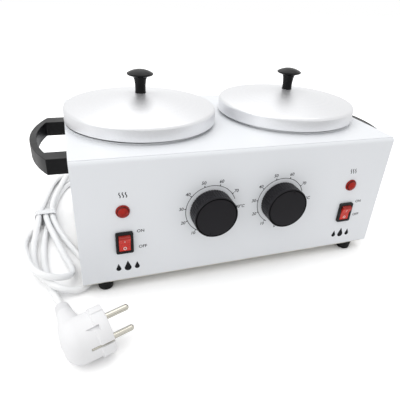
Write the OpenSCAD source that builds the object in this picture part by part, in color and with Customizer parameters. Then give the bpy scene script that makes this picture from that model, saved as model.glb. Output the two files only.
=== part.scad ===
// Double wax warmer: a folded steel case with two heated wells, a lift-out pot and a lid in each,
// two temperature dials, two rocker switches with lamps, two side handles and a tied mains lead.
// The floor is z = 0, the front faces -Y, and the origin is midway between the dial faces and the back.

/* [Case] */
// Width of the case across the front
case_w = 300; // [292:1:340]
// Depth of the case from front to back
case_d = 177; // [172:1:220]
// Height of the case without its feet
case_h = 120; // [114:1:150]
// Thickness of the sheet steel
sheet_t = 1.2; // [0.8:0.1:1.6]
// Outer radius of the folds along the top edges
fold_r = 4; // [3:0.5:8]
// Outer radius of the folds along the bottom edges
low_fold_r = 2; // [1.8:0.1:3]
// Width of the flange folded in along the bottom
bottom_flange = 12; // [10:1:16]
// Width of the tabs folded in on each end panel
end_tab = 8; // [6:1:12]
// Distance by which the base plate stays inside the case outline
base_inset = 2; // [1.5:0.5:4]

/* [Feet] */
// Height of the case above the floor
foot_h = 9; // [7:0.5:14]
// Radius of a foot where it meets the base
foot_top_r = 7.5; // [7:0.5:11]
// Radius of a foot at the floor
foot_low_r = 6.6; // [6:0.2:10]
// Distance of a foot centre from the end of the case
foot_end = 20; // [14:1:40]
// Distance of a foot centre from the front or the back
foot_edge = 8.5; // [8:0.5:20]

/* [Wells and pots] */
// Outer radius of the pot body
pot_r = 63.5; // [58:0.5:64]
// Wall thickness of the pot
pot_t = 1.2; // [0.8:0.1:2]
// Height of the pot rim above the case
pot_rim_h = 16; // [12:0.5:24]
// Outer radius of the rolled pot rim
rim_r = 72.2; // [70:0.2:73]
// Radius of the roll along the pot rim
bead_r = 1.4; // [1:0.1:2]
// Gap between the pot and its well
well_gap = 0.8; // [0.4:0.1:1.5]
// Wall thickness of the well
well_t = 1.2; // [0.8:0.1:2]
// Depth of the well below the top of the case
well_depth = 69; // [60:1:74]
// Width of the well flange that lies on the case
well_lip = 3.5; // [3:0.1:4]
// Free width between the well and the end panel
well_side_gap = 2.8; // [2:0.1:8]
// Distance of the wells behind the middle of the case
well_back = 4.5; // [0:0.5:8]
// Radius of the corner round the bottom of the pot
pot_corner = 8; // [4:0.5:14]

/* [Lids] */
// Gap between the pot rim and the lid skirt
lid_gap = 0.6; // [0.3:0.1:1]
// Thickness of the lid sheet
lid_t = 1.2; // [0.8:0.1:1.6]
// Height of the lid skirt
lid_rim_h = 13.3; // [9:0.1:15]
// Radius round the shoulder of the lid
lid_shoulder = 3; // [2:0.2:5]
// Rise of the lid from its shoulder to its knob
lid_rise = 10.5; // [6:0.5:16]
// Height of the lid knob
lid_knob_h = 21.5; // [16:0.5:30]
// Radius of the lid knob cap
lid_knob_r = 12.3; // [10:0.1:16]
// Radius of the lid knob foot
lid_knob_foot = 5.2; // [4.6:0.1:7]

/* [Handles] */
// Distance between the outer faces of the two legs
handle_span = 112; // [90:1:130]
// Reach of the handle from the end panel
handle_reach = 31.5; // [26:0.5:45]
// Length of the straight part of a leg
handle_leg = 17; // [10:0.5:20]
// Width of a leg, measured from front to back
handle_leg_w = 16; // [12:0.5:20]
// Thickness of the grip, measured across the case
handle_grip = 7; // [6:0.5:10]
// Height of the handle bar
handle_h = 14; // [10:0.5:18]
// Depth of the handle top below the case top
handle_drop = 11; // [8:0.5:30]

/* [Dials] */
// Distance of a dial from the middle of the case
dial_x = 34.5; // [26:0.5:37]
// Height of a dial above the bottom of the case
dial_h = 64.8; // [50:0.2:72]
// Radius of the dial knob
dial_r = 19.7; // [15:0.1:22]
// Depth of the dial knob
dial_depth = 15; // [12:0.5:20]
// Gap between the dial knob and the front panel
dial_gap = 0.6; // [0.4:0.1:1.5]
// Number of flutes round a dial knob
dial_flutes = 48; // [24:4:60]
// Pointer position of the left dial, clockwise from the top
left_reading = -163; // [-176:1:91]
// Pointer position of the right dial, clockwise from the top
right_reading = 12; // [-176:1:91]
// Radius of the thermostat shaft
shaft_r = 3; // [2.5:0.1:3.5]
// Side of the thermostat body
thermostat_w = 34; // [28:1:36]
// Depth of the thermostat body
thermostat_d = 26; // [20:1:28]

/* [Switches and lamps] */
// Distance of a switch and its lamp from the middle of the case
switch_x = 112; // [104:1:118]
// Height of a switch above the bottom of the case
switch_h = 42.5; // [32:0.5:46]
// Width of the switch bezel
bezel_w = 15; // [14.8:0.1:18]
// Height of the switch bezel
bezel_h = 21; // [20.8:0.1:24]
// Thickness of the switch bezel
bezel_t = 2; // [1.5:0.1:3]
// Depth of the switch body behind the front panel
switch_d = 14; // [12:0.5:18]
// Angle by which the rocker tips to each side
rocker_tip = 12; // [8:1:14]
// Height of a lamp above the bottom of the case
lamp_h = 73; // [66:0.5:90]
// Radius of the lamp lens
lamp_r = 6; // [5:0.1:8]

/* [Heaters] */
// Radius of the heating disc under a well
heater_r = 52; // [40:1:54]
// Thickness of the heating disc
heater_t = 4.5; // [3:0.5:6]
// Thickness of the plate that presses the heater to the well
press_t = 1.5; // [1:0.1:2.5]
// Width of the bracket under a well
bracket_w = 38; // [30:1:44]
// Length of the bracket top
bracket_l = 76; // [60:1:90]

/* [Mains lead] */
// Diameter of the mains lead
cord_d = 6; // [5.5:0.1:6.2]
// Distance of the lead gland from the end of the case
gland_end = 38; // [36:1:42]
// Height of the lead gland above the bottom of the case
gland_h = 13; // [12:0.5:16]
// Length of the tapered strain relief
boot_l = 30; // [20:1:30]
// Radius of the plug face
plug_r = 18.5; // [17:0.5:19]

/* [Hidden] */
$fn = 64;

// Fit between pieces that are fixed to each other
fit = 0.1;
// Radial clearance of a screw in its hole
screw_gap = 0.15;
// Radial clearance of a shaft or pin that turns
running = 0.05;
// Gap under a piece that is lifted off
seat_gap = 0.1;
// Length by which a cutting tool passes through a face
over = 1;
// Depth by which two shapes of one piece run into each other
overlap = 0.1;

front_y = -case_d / 2;
back_y = case_d / 2;
inner_front = front_y + sheet_t;
inner_back = back_y - sheet_t;
end_x = case_w / 2;
inner_end = end_x - sheet_t;
base_z = foot_h;
wrap_z = base_z + sheet_t;
top_z = base_z + case_h;
wrap_h = top_z - wrap_z;

well_r = pot_r + well_gap + well_t;
well_x = inner_end - well_side_gap - well_r;
well_floor = top_z - well_depth;
well_hole_gap = 0.3;
pot_floor = well_floor + well_t + seat_gap;
rim_z = top_z + pot_rim_h;
shoulder_z = top_z + well_t + 4 * seat_gap;
lid_r = rim_r + lid_gap + lid_t;
lid_seat = lid_t + seat_gap;
lid_top = rim_z + lid_seat;
lid_z = lid_top - lid_rim_h;
lid_flat_r = lid_knob_foot + 2;
lid_slope = atan(lid_rise / (lid_r - lid_shoulder - lid_flat_r));

heater_z = well_floor - heater_t;
press_z = heater_z - press_t;
bracket_t = 1.5;
bracket_z = press_z - bracket_t;
stud_r = 3;
stud_free = 3;
nut_w = 10;
nut_h = 5;

dial_z = base_z + dial_h;
switch_z = base_z + switch_h;
lamp_z = base_z + lamp_h;
gland_z = base_z + gland_h;
gland_x = end_x - gland_end;

// A screw is a shank with a domed or flat head, its tip pointing along +Z from the head seat
module screw(shank_r, shank_l, head_r, head_h) {
    cylinder(r = shank_r, h = shank_l);
    difference() {
        translate([0, 0, -head_h]) cylinder(r1 = head_r * 0.8, r2 = head_r, h = head_h);
        cross_slot(head_r, head_h);
    }
}

// Crossed driving slots in the outer face of a screw head
module cross_slot(head_r, head_h) {
    slot_w = head_r * 0.3;
    slot_l = head_r * 1.1;
    for (turn = [0, 90]) {
        rotate([0, 0, turn])
            translate([-slot_l / 2, -slot_w / 2, -head_h - over])
                cube([slot_l, slot_w, head_h * 0.5 + over]);
    }
}

// A hexagon nut of a given width across flats with its bore
module hex_nut(flat_w, height, bore_r) {
    difference() {
        cylinder(d = flat_w / cos(30), h = height, $fn = 6);
        translate([0, 0, -over]) cylinder(r = bore_r, h = height + 2 * over);
    }
}

// A rectangle with four rounded corners, centred on the origin
module rounded_rect(width, height, corner) {
    square([width - 2 * corner, height], center = true);
    square([width, height - 2 * corner], center = true);
    for (side_x = [-1, 1], side_y = [-1, 1]) {
        translate([side_x * (width / 2 - corner), side_y * (height / 2 - corner)])
            circle(r = corner);
    }
}

// The section of the case, seen from its end, with its own radii above and below
module case_section(inset) {
    width = case_d - 2 * inset;
    height = wrap_h - 2 * inset;
    high_r = fold_r - inset;
    low_r = low_fold_r - inset;
    translate([0, wrap_z + inset]) {
        translate([-width / 2, low_r]) square([width, height - low_r - high_r]);
        translate([-width / 2 + low_r, 0]) square([width - 2 * low_r, height]);
        translate([-width / 2 + high_r, low_r]) square([width - 2 * high_r, height - low_r]);
        for (side = [-1, 1]) {
            translate([side * (width / 2 - high_r), height - high_r]) circle(r = high_r);
            translate([side * (width / 2 - low_r), low_r]) circle(r = low_r);
        }
    }
}

// Stands a section drawn in Y and Z upright and extrudes it along X from start
module along_x(start, length) {
    translate([start, 0, 0]) rotate([90, 0, 90]) linear_extrude(length) children();
}

// Pieces are drawn round the middle of the case, then moved back by half the height of the dials
module centred() {
    translate([0, (dial_gap + dial_depth) / 2, 0]) children();
}

// Turns a piece that is drawn along +Z so that it points out of the front panel
module out_of_front(x, y, z) {
    translate([x, y, z]) rotate([90, 0, 0]) children();
}

module case_wrap() {
    color("whitesmoke") centred() difference() {
        along_x(-end_x, case_w) difference() {
            case_section(0);
            case_section(sheet_t);
            translate([-case_d / 2 + bottom_flange, wrap_z - over])
                square([case_d - 2 * bottom_flange, sheet_t + 2 * over]);
        }
        for (side = [-1, 1]) {
            translate([side * well_x, well_back, top_z - sheet_t - over])
                cylinder(r = well_r + well_hole_gap, h = sheet_t + 2 * over, $fn = 128);
            out_of_front(side * dial_x, inner_front + over, dial_z)
                cylinder(r = neck_r + screw_gap, h = sheet_t + 2 * over);
            out_of_front(side * switch_x, inner_front + over, lamp_z)
                cylinder(r = lamp_neck_r + screw_gap, h = sheet_t + 2 * over);
            out_of_front(side * switch_x, inner_front + over, switch_z)
                linear_extrude(sheet_t + 2 * over)
                    square([switch_body_w + 2 * fit, switch_body_h + 2 * fit], center = true);
        }
        out_of_front(-gland_x, back_y + over, gland_z)
            cylinder(r = gland_neck_r + screw_gap, h = sheet_t + 2 * over);
        base_screw_places() translate([0, 0, wrap_z - over])
            cylinder(r = base_screw_r + screw_gap, h = sheet_t + 2 * over, $fn = 24);
        foot_places() translate([0, 0, wrap_z - over])
            cylinder(r = foot_screw_r + screw_gap, h = sheet_t + 2 * over, $fn = 24);
    }
}

// The end panel is a plate with tabs folded inwards, clear of the well beside it
module end_panel(side) {
    tab_free = well_r * 0.7;
    color("whitesmoke") centred() mirror([side > 0 ? 1 : 0, 0, 0]) difference() {
        union() {
            along_x(-end_x, sheet_t) end_outline(sheet_t + fit);
            along_x(-end_x, sheet_t + end_tab) difference() {
                case_section(sheet_t + fit);
                end_inside();
                translate([well_back - tab_free, 0]) square([2 * tab_free, 2 * top_z]);
                translate([-case_d, 0]) square([2 * case_d, wrap_z + sheet_t + 2 * low_fold_r]);
            }
        }
        for (leg = [-1, 1]) {
            translate([-end_x - over, leg * handle_screw_y, handle_mid_z]) rotate([0, 90, 0])
                cylinder(r = handle_screw_r + screw_gap, h = sheet_t + 2 * over, $fn = 24);
        }
    }
}

// The outline of an end panel fills the case section and the gap between the bottom flanges
module end_outline(inset) {
    case_section(inset);
    gap_w = case_d - 2 * bottom_flange - 2 * fit;
    translate([-gap_w / 2, wrap_z + fit / 2]) square([gap_w, 4 * sheet_t]);
}

// The space inside the tabs of an end panel
module end_inside() {
    width = case_d - 4 * sheet_t - 2 * fit;
    translate([-width / 2, 0]) square([width, top_z - 2 * sheet_t - fit]);
}

module base_plate() {
    width = case_w - 2 * base_inset;
    depth = case_d - 2 * base_inset;
    color("silver") centred() difference() {
        translate([0, 0, base_z]) linear_extrude(sheet_t) rounded_rect(width, depth, 3);
        foot_places() translate([0, 0, base_z - over])
            cylinder(r = foot_screw_r + screw_gap, h = sheet_t + 2 * over, $fn = 24);
        base_screw_places() translate([0, 0, base_z - over])
            cylinder(r = base_screw_r + screw_gap, h = sheet_t + 2 * over, $fn = 24);
        rivet_places() translate([0, 0, base_z - over])
            cylinder(r = rivet_r + fit, h = sheet_t + 2 * over, $fn = 24);
        vent_slots();
    }
}

// Rows of round-ended air slots under each well
module vent_slots() {
    slot_l = 18;
    slot_w = 3;
    slot_pitch = 9;
    slots = 5;
    slot_row = 15;
    for (side = [-1, 1], row = [-1, 1], n = [0 : slots - 1]) {
        slot_x = side * well_x + (n - (slots - 1) / 2) * slot_pitch;
        translate([slot_x, well_back + row * slot_row, base_z - over])
            linear_extrude(sheet_t + 2 * over) {
                square([slot_w, slot_l - slot_w], center = true);
                for (tip = [-1, 1]) {
                    translate([0, tip * (slot_l - slot_w) / 2]) circle(d = slot_w, $fn = 24);
                }
            }
    }
}

base_screw_r = 1.5;
base_screw_l = 6;
base_head_r = 2.9;
base_head_h = 1.8;
base_screw_end = 60;

// Six screws join the base plate to the flanges of the wrap
module base_screw_places() {
    reach_x = end_x - base_screw_end;
    reach_y = case_d / 2 - bottom_flange / 2;
    for (place_x = [-reach_x, 0, reach_x], side_y = [-1, 1]) {
        translate([place_x, side_y * reach_y, 0]) children();
    }
}

module base_screws() {
    color("silver") centred() base_screw_places() translate([0, 0, base_z])
        screw(base_screw_r, base_screw_l, base_head_r, base_head_h, $fn = 24);
}

foot_screw_r = 2;
foot_bore_r = 4.6;
foot_seat = 4;
foot_head_r = 3.8;
foot_head_h = 2.2;
foot_nut_w = 7;
foot_nut_h = 3.2;
foot_screw_free = 0.8;

module foot_places() {
    for (side_x = [-1, 1], side_y = [-1, 1]) {
        translate([side_x * (case_w / 2 - foot_end), side_y * (case_d / 2 - foot_edge), 0])
            children();
    }
}

// A rubber foot tapers to the floor, with a rounded lower edge and a sunk screw seat
module rubber_feet() {
    edge_r = 1.2;
    color([0.08, 0.08, 0.09]) centred() foot_places() difference() {
        union() {
            translate([0, 0, edge_r]) cylinder(r1 = foot_low_r, r2 = foot_top_r, h = foot_h - edge_r);
            rotate_extrude() {
                square([foot_low_r - edge_r, edge_r]);
                intersection() {
                    translate([foot_low_r - edge_r, edge_r]) circle(r = edge_r);
                    square([foot_low_r, edge_r]);
                }
            }
        }
        translate([0, 0, -over]) cylinder(r = foot_screw_r + screw_gap, h = foot_h + 2 * over);
        translate([0, 0, -over]) cylinder(r = foot_bore_r, h = foot_seat + over);
    }
}

module foot_screws() {
    length = foot_h - foot_seat + 2 * sheet_t + foot_nut_h + foot_screw_free;
    color("silver") centred() foot_places() translate([0, 0, foot_seat])
        screw(foot_screw_r, length, foot_head_r, foot_head_h, $fn = 24);
}

module foot_nuts() {
    color("silver") centred() foot_places() translate([0, 0, wrap_z + sheet_t])
        hex_nut(foot_nut_w, foot_nut_h, foot_screw_r + running, $fn = 24);
}

handle_z = top_z - handle_drop - handle_h;
handle_mid_z = handle_z + handle_h / 2;
handle_screw_y = handle_span / 2 - handle_leg_w / 2;
handle_screw_r = 2;
handle_screw_l = 14;
handle_head_r = 3.8;
handle_head_h = 2.4;
handle_bore_l = 15;

// The plan of a handle, drawn towards -X from the wall at x = 0
module handle_plan() {
    half = handle_span / 2;
    rise = handle_reach - handle_leg;
    outer_r = (half * half + rise * rise) / (2 * rise);
    centre_x = outer_r - handle_reach;
    intersection() {
        translate([-handle_reach, -half]) square([handle_reach, handle_span]);
        difference() {
            translate([centre_x, 0]) circle(r = outer_r, $fn = 256);
            intersection() {
                translate([centre_x, 0]) circle(r = outer_r - handle_grip, $fn = 256);
                translate([-handle_reach, -half + handle_leg_w])
                    square([handle_reach + over, handle_span - 2 * handle_leg_w]);
            }
        }
    }
}

module handle(side) {
    turn = side < 0 ? 0 : 180;
    color([0.07, 0.07, 0.08]) centred() rotate([0, 0, turn]) translate([-end_x, 0, handle_z]) difference() {
        linear_extrude(handle_h) handle_plan();
        for (leg = [-1, 1]) {
            translate([over, leg * handle_screw_y, handle_h / 2]) rotate([0, -90, 0])
                cylinder(r = handle_screw_r + running, h = over + handle_bore_l, $fn = 24);
        }
    }
}

module handle_screws() {
    color("silver") centred() for (side = [-1, 1], leg = [-1, 1]) {
        translate([side * inner_end, leg * handle_screw_y, handle_mid_z]) rotate([0, side * 90, 0])
            screw(handle_screw_r, handle_screw_l, handle_head_r, handle_head_h, $fn = 24);
    }
}

// Half section of a cup standing on y = 0, with a rounded bottom corner
module cup_half(radius, height, corner) {
    square([radius - corner, height]);
    translate([0, corner]) square([radius, height - corner]);
    intersection() {
        translate([radius - corner, corner]) circle(r = corner);
        square([radius, corner]);
    }
}

// A heated well is a deep cup whose flange lies on the case, with a stud under its floor
module heating_well(side) {
    corner = pot_corner + 1;
    depth = well_depth + well_t;
    color([0.78, 0.79, 0.80]) centred() translate([side * well_x, well_back, well_floor]) {
        rotate_extrude($fn = 128) difference() {
            union() {
                cup_half(well_r, depth, corner);
                translate([0, well_depth]) square([well_r + well_lip, well_t]);
            }
            translate([0, well_t]) cup_half(well_r - well_t, depth + over, corner - well_t);
        }
        translate([0, 0, well_floor_to_stud()]) cylinder(r = stud_r, h = -well_floor_to_stud() + overlap);
    }
}

// The stud reaches down through heater, press plate, bracket and nut
function well_floor_to_stud() = -(heater_t + press_t + bracket_t + nut_h + stud_free);

module heater_disc(side) {
    tab_w = 6.3;
    tab_l = 11;
    tab_t = 0.8;
    tab_x = 8;
    tab_in = 4;
    color([0.55, 0.5, 0.42]) centred() translate([side * well_x, well_back, heater_z]) difference() {
        union() {
            cylinder(r = heater_r, h = heater_t, $fn = 128);
            for (offset_x = [-tab_x, tab_x]) {
                translate([offset_x - tab_w / 2, heater_r - tab_in, heater_t / 2 - tab_t / 2])
                    cube([tab_w, tab_l, tab_t]);
            }
        }
        translate([0, 0, -over]) cylinder(r = stud_r + screw_gap, h = heater_t + 2 * over);
    }
}

module press_plate(side) {
    inset = 3;
    hole_r = 9;
    hole_ring_r = 28.6;
    color("lightsteelblue") centred() translate([side * well_x, well_back, press_z]) difference() {
        cylinder(r = heater_r - inset, h = press_t, $fn = 128);
        translate([0, 0, -over]) cylinder(r = stud_r + screw_gap, h = press_t + 2 * over);
        for (turn = [45 : 90 : 315]) {
            rotate([0, 0, turn]) translate([hole_ring_r, 0, -over])
                cylinder(r = hole_r, h = press_t + 2 * over);
        }
    }
}

bracket_foot = 12;

// A bridge of folded steel carries each well on the base plate
module well_bracket(side) {
    leg_y = bracket_l / 2;
    foot_l = bracket_foot + bracket_t;
    seat_z = base_z + sheet_t;
    color("lightsteelblue") centred() translate([side * well_x, well_back, 0]) difference() {
        along_x(-bracket_w / 2, bracket_w) {
            translate([-leg_y, bracket_z]) square([bracket_l, bracket_t]);
            for (leg = [-1, 1]) {
                translate([leg * (leg_y - bracket_t / 2) - bracket_t / 2, seat_z])
                    square([bracket_t, bracket_z + bracket_t - seat_z]);
                translate([leg * (leg_y + foot_l / 2 - bracket_t) - foot_l / 2, seat_z])
                    square([foot_l, bracket_t]);
            }
        }
        translate([0, 0, bracket_z - over]) cylinder(r = stud_r + screw_gap, h = bracket_t + 2 * over);
        rivet_offsets() translate([0, 0, seat_z - over])
            cylinder(r = rivet_r + fit, h = bracket_t + 2 * over, $fn = 24);
    }
}

rivet_r = 1.6;
rivet_edge = 8;

module rivet_offsets() {
    for (side_x = [-1, 1], side_y = [-1, 1]) {
        translate([side_x * (bracket_w / 2 - rivet_edge), side_y * (bracket_l / 2 + bracket_foot / 2), 0])
            children();
    }
}

module rivet_places() {
    for (side = [-1, 1]) {
        translate([side * well_x, well_back, 0]) rivet_offsets() children();
    }
}

// Each rivet has a flat head under the base plate and a set head on the bracket foot
module bracket_rivets() {
    head_r = 3;
    head_h = 1;
    stack = sheet_t + bracket_t;
    color("silver") centred() rivet_places() translate([0, 0, base_z]) {
        cylinder(r = rivet_r, h = stack, $fn = 24);
        translate([0, 0, -head_h]) cylinder(r = head_r, h = head_h, $fn = 24);
        translate([0, 0, stack]) cylinder(r = head_r, h = head_h, $fn = 24);
    }
}

module well_nuts() {
    color("silver") centred() for (side = [-1, 1]) {
        translate([side * well_x, well_back, bracket_z - nut_h])
            hex_nut(nut_w, nut_h, stud_r + running);
    }
}

// A pot is a deep cup with a flat shoulder, an upright collar and a rolled rim
module wax_pot(side) {
    height = rim_z - pot_floor;
    shoulder = shoulder_z - pot_floor;
    collar_r = rim_r - bead_r;
    color([0.82, 0.83, 0.84]) centred() translate([side * well_x, well_back, pot_floor])
        rotate_extrude($fn = 128) difference() {
            union() {
                cup_half(pot_r, shoulder + pot_t, pot_corner);
                translate([0, shoulder]) square([collar_r, height - shoulder - bead_r]);
                translate([collar_r, height - bead_r]) circle(r = bead_r, $fn = 32);
            }
            translate([0, pot_t]) cup_half(pot_r - pot_t, height, pot_corner - pot_t);
            translate([0, shoulder + pot_t]) square([collar_r - pot_t, height]);
        }
}

// Half section of the closed outside of a lid, moved in by inset on every face
module lid_half(inset) {
    radius = lid_r - inset;
    round_r = lid_shoulder - inset;
    centre_r = lid_r - lid_shoulder;
    centre_z = lid_rim_h - lid_shoulder;
    edge_r = centre_r + round_r * sin(lid_slope);
    edge_z = centre_z + round_r * cos(lid_slope);
    crown_z = edge_z + (edge_r - lid_flat_r) * tan(lid_slope);
    polygon([[0, 0], [radius, 0], [radius, centre_z], [centre_r, centre_z], [edge_r, edge_z],
            [lid_flat_r, crown_z], [0, crown_z]]);
    intersection() {
        translate([centre_r, centre_z]) circle(r = round_r, $fn = 48);
        polygon([[centre_r, centre_z], [radius + over, centre_z], [radius + over, edge_z + over],
                [2 * edge_r - centre_r, 2 * edge_z - centre_z]]);
    }
}

lid_screw_r = 2;
lid_crown = lid_rim_h - lid_shoulder + lid_shoulder * cos(lid_slope)
    + (lid_r - lid_shoulder + lid_shoulder * sin(lid_slope) - lid_flat_r) * tan(lid_slope);
lid_crown_in = lid_rim_h - lid_shoulder + (lid_shoulder - lid_t) * cos(lid_slope)
    + (lid_r - lid_shoulder + (lid_shoulder - lid_t) * sin(lid_slope) - lid_flat_r) * tan(lid_slope);

module lid(side) {
    color([0.86, 0.87, 0.88]) centred() translate([side * well_x, well_back, lid_z]) difference() {
        rotate_extrude($fn = 128) intersection() {
            difference() {
                lid_half(0);
                translate([0, -over]) square([lid_r - lid_t, over * 2]);
                lid_half(lid_t);
            }
            square([lid_r + over, lid_r]);
        }
        translate([0, 0, lid_rim_h - over]) cylinder(r = lid_screw_r + screw_gap, h = lid_rise + 2 * over);
    }
}

// The knob has a waisted stem under a mushroom cap
module lid_knob(side) {
    waist_r = lid_knob_foot - 0.3;
    waist_low = 3;
    waist_high = 8;
    neck_r_high = lid_knob_foot + 1.8;
    cap_h = 6.2;
    cap_z = lid_knob_h - cap_h;
    cap_edge = 1.2;
    cap_lap = 0.5;
    dome_rise = 3.6;
    dome_z = lid_knob_h - dome_rise;
    screw_bore = 13;
    dome_r = (lid_knob_r * lid_knob_r + dome_rise * dome_rise) / (2 * dome_rise);
    foot = [side * well_x, well_back, lid_z + lid_crown];
    color([0.07, 0.07, 0.08]) centred() translate(foot) difference() {
        rotate_extrude() {
            polygon([[0, 0], [lid_knob_foot, 0], [waist_r, waist_low], [waist_r + 0.2, waist_high],
                    [neck_r_high, cap_z], [0, cap_z]]);
            polygon([[0, cap_z - cap_lap], [neck_r_high - overlap, cap_z - cap_lap],
                    [lid_knob_r, dome_z - cap_edge], [lid_knob_r, dome_z], [0, dome_z]]);
            intersection() {
                translate([0, lid_knob_h - dome_r]) circle(r = dome_r, $fn = 128);
                translate([0, dome_z - overlap]) square([lid_knob_r, dome_rise + over]);
            }
        }
        translate([0, 0, -over]) cylinder(r = lid_screw_r + running, h = over + screw_bore, $fn = 24);
    }
}

// A screw with a wide head holds the knob from inside the lid
module lid_screw(side) {
    head_r = 5;
    head_h = 2.2;
    in_knob = 12;
    color("silver") centred() translate([side * well_x, well_back, lid_z + lid_crown_in])
        screw(lid_screw_r, lid_crown - lid_crown_in + in_knob, head_r, head_h, $fn = 32);
}

neck_r = 5;
neck_l = 3;
neck_nut_w = 14;
neck_nut_h = 2;
shaft_in = 16;

// The thermostat has a threaded neck through the front panel and a box behind it
module thermostat(side) {
    tab_w = 6;
    tab_l = 6;
    tab_t = 0.8;
    tab_z = 9;
    color([0.93, 0.9, 0.82]) centred() {
        difference() {
            union() {
                translate([side * dial_x - thermostat_w / 2, inner_front, dial_z - thermostat_w / 2])
                    cube([thermostat_w, thermostat_d, thermostat_w]);
                out_of_front(side * dial_x, inner_front + overlap, dial_z)
                    cylinder(r = neck_r, h = overlap + sheet_t + neck_l);
                for (offset_z = [-tab_z, tab_z]) {
                    translate([side * dial_x, inner_front + thermostat_d, dial_z + offset_z])
                        translate([-tab_w / 2, -overlap, -tab_t / 2])
                            cube([tab_w, tab_l + overlap, tab_t]);
                }
            }
            out_of_front(side * dial_x, inner_front + shaft_in, dial_z)
                cylinder(r = shaft_r + running, h = shaft_in + sheet_t + neck_l + over);
        }
    }
}

bulb_r = 3;
capillary_r = 0.9;
bulb_l = 42;

// The angle from the well axis towards its thermostat, where the bulb stands at the well wall
bulb_gap = 0.15;
bulb_turn = 40;

// A copper bulb stands against the well and its thin tube leads down to the thermostat
module sensor_bulb(side) {
    reach = well_r + bulb_r + bulb_gap;
    bulb_x = well_x - reach * sin(bulb_turn);
    bulb_y = well_back - reach * cos(bulb_turn);
    bend_r = 4;
    rise = 2;
    tube_z = dial_z - 6;
    box_back = inner_front + thermostat_d;
    color([0.72, 0.45, 0.3]) centred() translate([side * bulb_x, bulb_y, tube_z]) {
        translate([0, 0, bend_r + rise]) cylinder(r = bulb_r, h = bulb_l, $fn = 32);
        translate([0, 0, bend_r]) cylinder(r = capillary_r, h = rise + overlap, $fn = 24);
        translate([0, -bend_r, bend_r]) rotate([90, 90, 90])
            rotate_extrude(angle = 90) translate([bend_r, 0]) circle(r = capillary_r, $fn = 24);
        translate([0, -bend_r, 0]) rotate([90, 0, 0])
            cylinder(r = capillary_r, h = bulb_y - bend_r - box_back, $fn = 24);
    }
}

module thermostat_nuts() {
    color("silver") centred() for (side = [-1, 1]) {
        out_of_front(side * dial_x, front_y, dial_z) hex_nut(neck_nut_w, neck_nut_h, neck_r + running);
    }
}

dial_front = front_y - dial_gap - dial_depth;
hub_r = 6.5;
hub_gap = 0.5;
hub_back = front_y - neck_l - hub_gap;
dial_wall = 2.4;
face_t = 3;
shaft_flat = 0.8;
shaft_end = face_t + 1;

// The shaft is round in the thermostat and has a flat where the knob sits
module thermostat_shaft(side) {
    reading = side < 0 ? left_reading : right_reading;
    back = inner_front + shaft_in - 1;
    front = dial_front + shaft_end;
    color("silver") centred() out_of_front(side * dial_x, back, dial_z) rotate([0, 0, -reading])
        difference() {
            cylinder(r = shaft_r, h = back - front);
            translate([-shaft_r, shaft_r - shaft_flat, back - hub_back])
                cube([2 * shaft_r, 2 * shaft_r, hub_back - front + over]);
        }
}

// The dial knob is a hollow moulding with a hub, a fluted skirt and a pointer notch in its face
module dial_knob(side) {
    reading = side < 0 ? left_reading : right_reading;
    edge = 0.8;
    flute_r = 0.55;
    plain = 2.2;
    back = front_y - dial_gap;
    notch_w = 1.6;
    notch_l = 4;
    notch_d = 0.7;
    color([0.1, 0.1, 0.11]) centred() out_of_front(side * dial_x, back, dial_z) rotate([0, 0, -reading])
        difference() {
            union() {
                cylinder(r = dial_r, h = dial_depth - edge, $fn = 96);
                translate([0, 0, dial_depth - edge])
                    cylinder(r1 = dial_r, r2 = dial_r - edge, h = edge, $fn = 96);
            }
            translate([0, 0, -over]) difference() {
                cylinder(r = dial_r - dial_wall, h = over + dial_depth - face_t);
                translate([0, 0, over + back - hub_back]) cylinder(r = hub_r, h = dial_depth);
            }
            difference() {
                translate([0, 0, -over])
                    cylinder(r = shaft_r + running, h = over + dial_depth - shaft_end + 0.5);
                translate([-shaft_r, shaft_r - shaft_flat + running, back - hub_back])
                    cube([2 * shaft_r, 2 * shaft_r, dial_depth]);
            }
            for (n = [0 : dial_flutes - 1]) {
                rotate([0, 0, n * 360 / dial_flutes]) translate([dial_r + flute_r * 0.3, 0, -over])
                    cylinder(r = flute_r, h = over + dial_depth - plain, $fn = 16);
            }
            translate([-notch_w / 2, dial_r - notch_l, dial_depth - notch_d])
                cube([notch_w, notch_l + over, over]);
        }
}

switch_body_w = 13;
switch_body_h = 19.6;
switch_open_w = 11.2;
switch_open_h = 18.4;
pivot_in = 0.5;
pivot_y = front_y + pivot_in;
pivot_r = 1.2;
rocker_w = 10.6;
rocker_r = switch_open_h / 2 - 0.3;
rocker_mid = pivot_in + bezel_t;
rocker_back = 3;
pin_l = 0.9;

// The switch body has a bezel on the front panel, an open front and bearing holes for the rocker
module switch_body(side) {
    cavity = 6.5;
    corner = 1.4;
    color([0.06, 0.06, 0.07]) centred() out_of_front(side * switch_x, inner_front + switch_d, switch_z)
        difference() {
            union() {
                linear_extrude(switch_d + sheet_t)
                    square([switch_body_w, switch_body_h], center = true);
                translate([0, 0, switch_d + sheet_t]) linear_extrude(bezel_t)
                    rounded_rect(bezel_w, bezel_h, corner);
            }
            translate([-switch_open_w / 2, -switch_open_h / 2, switch_d + sheet_t - pivot_in - cavity])
                cube([switch_open_w, switch_open_h, pivot_in + cavity + bezel_t + over]);
            translate([-switch_body_w / 2 - fit / 2, 0, switch_d + sheet_t - pivot_in]) rotate([0, 90, 0])
                cylinder(r = pivot_r + running, h = switch_body_w + fit, $fn = 24);
        }
}

// Three flat contact tabs stand out of the back of each switch
module switch_tabs() {
    tab_w = 4.8;
    tab_l = 7;
    tab_t = 0.8;
    tab_pitch = 6.5;
    color("gold") centred() for (side = [-1, 1], row = [-1 : 1]) {
        translate([side * switch_x, inner_front + switch_d, switch_z + row * tab_pitch])
            translate([-tab_w / 2, 0, -tab_t / 2]) cube([tab_w, tab_l, tab_t]);
    }
}

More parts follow.
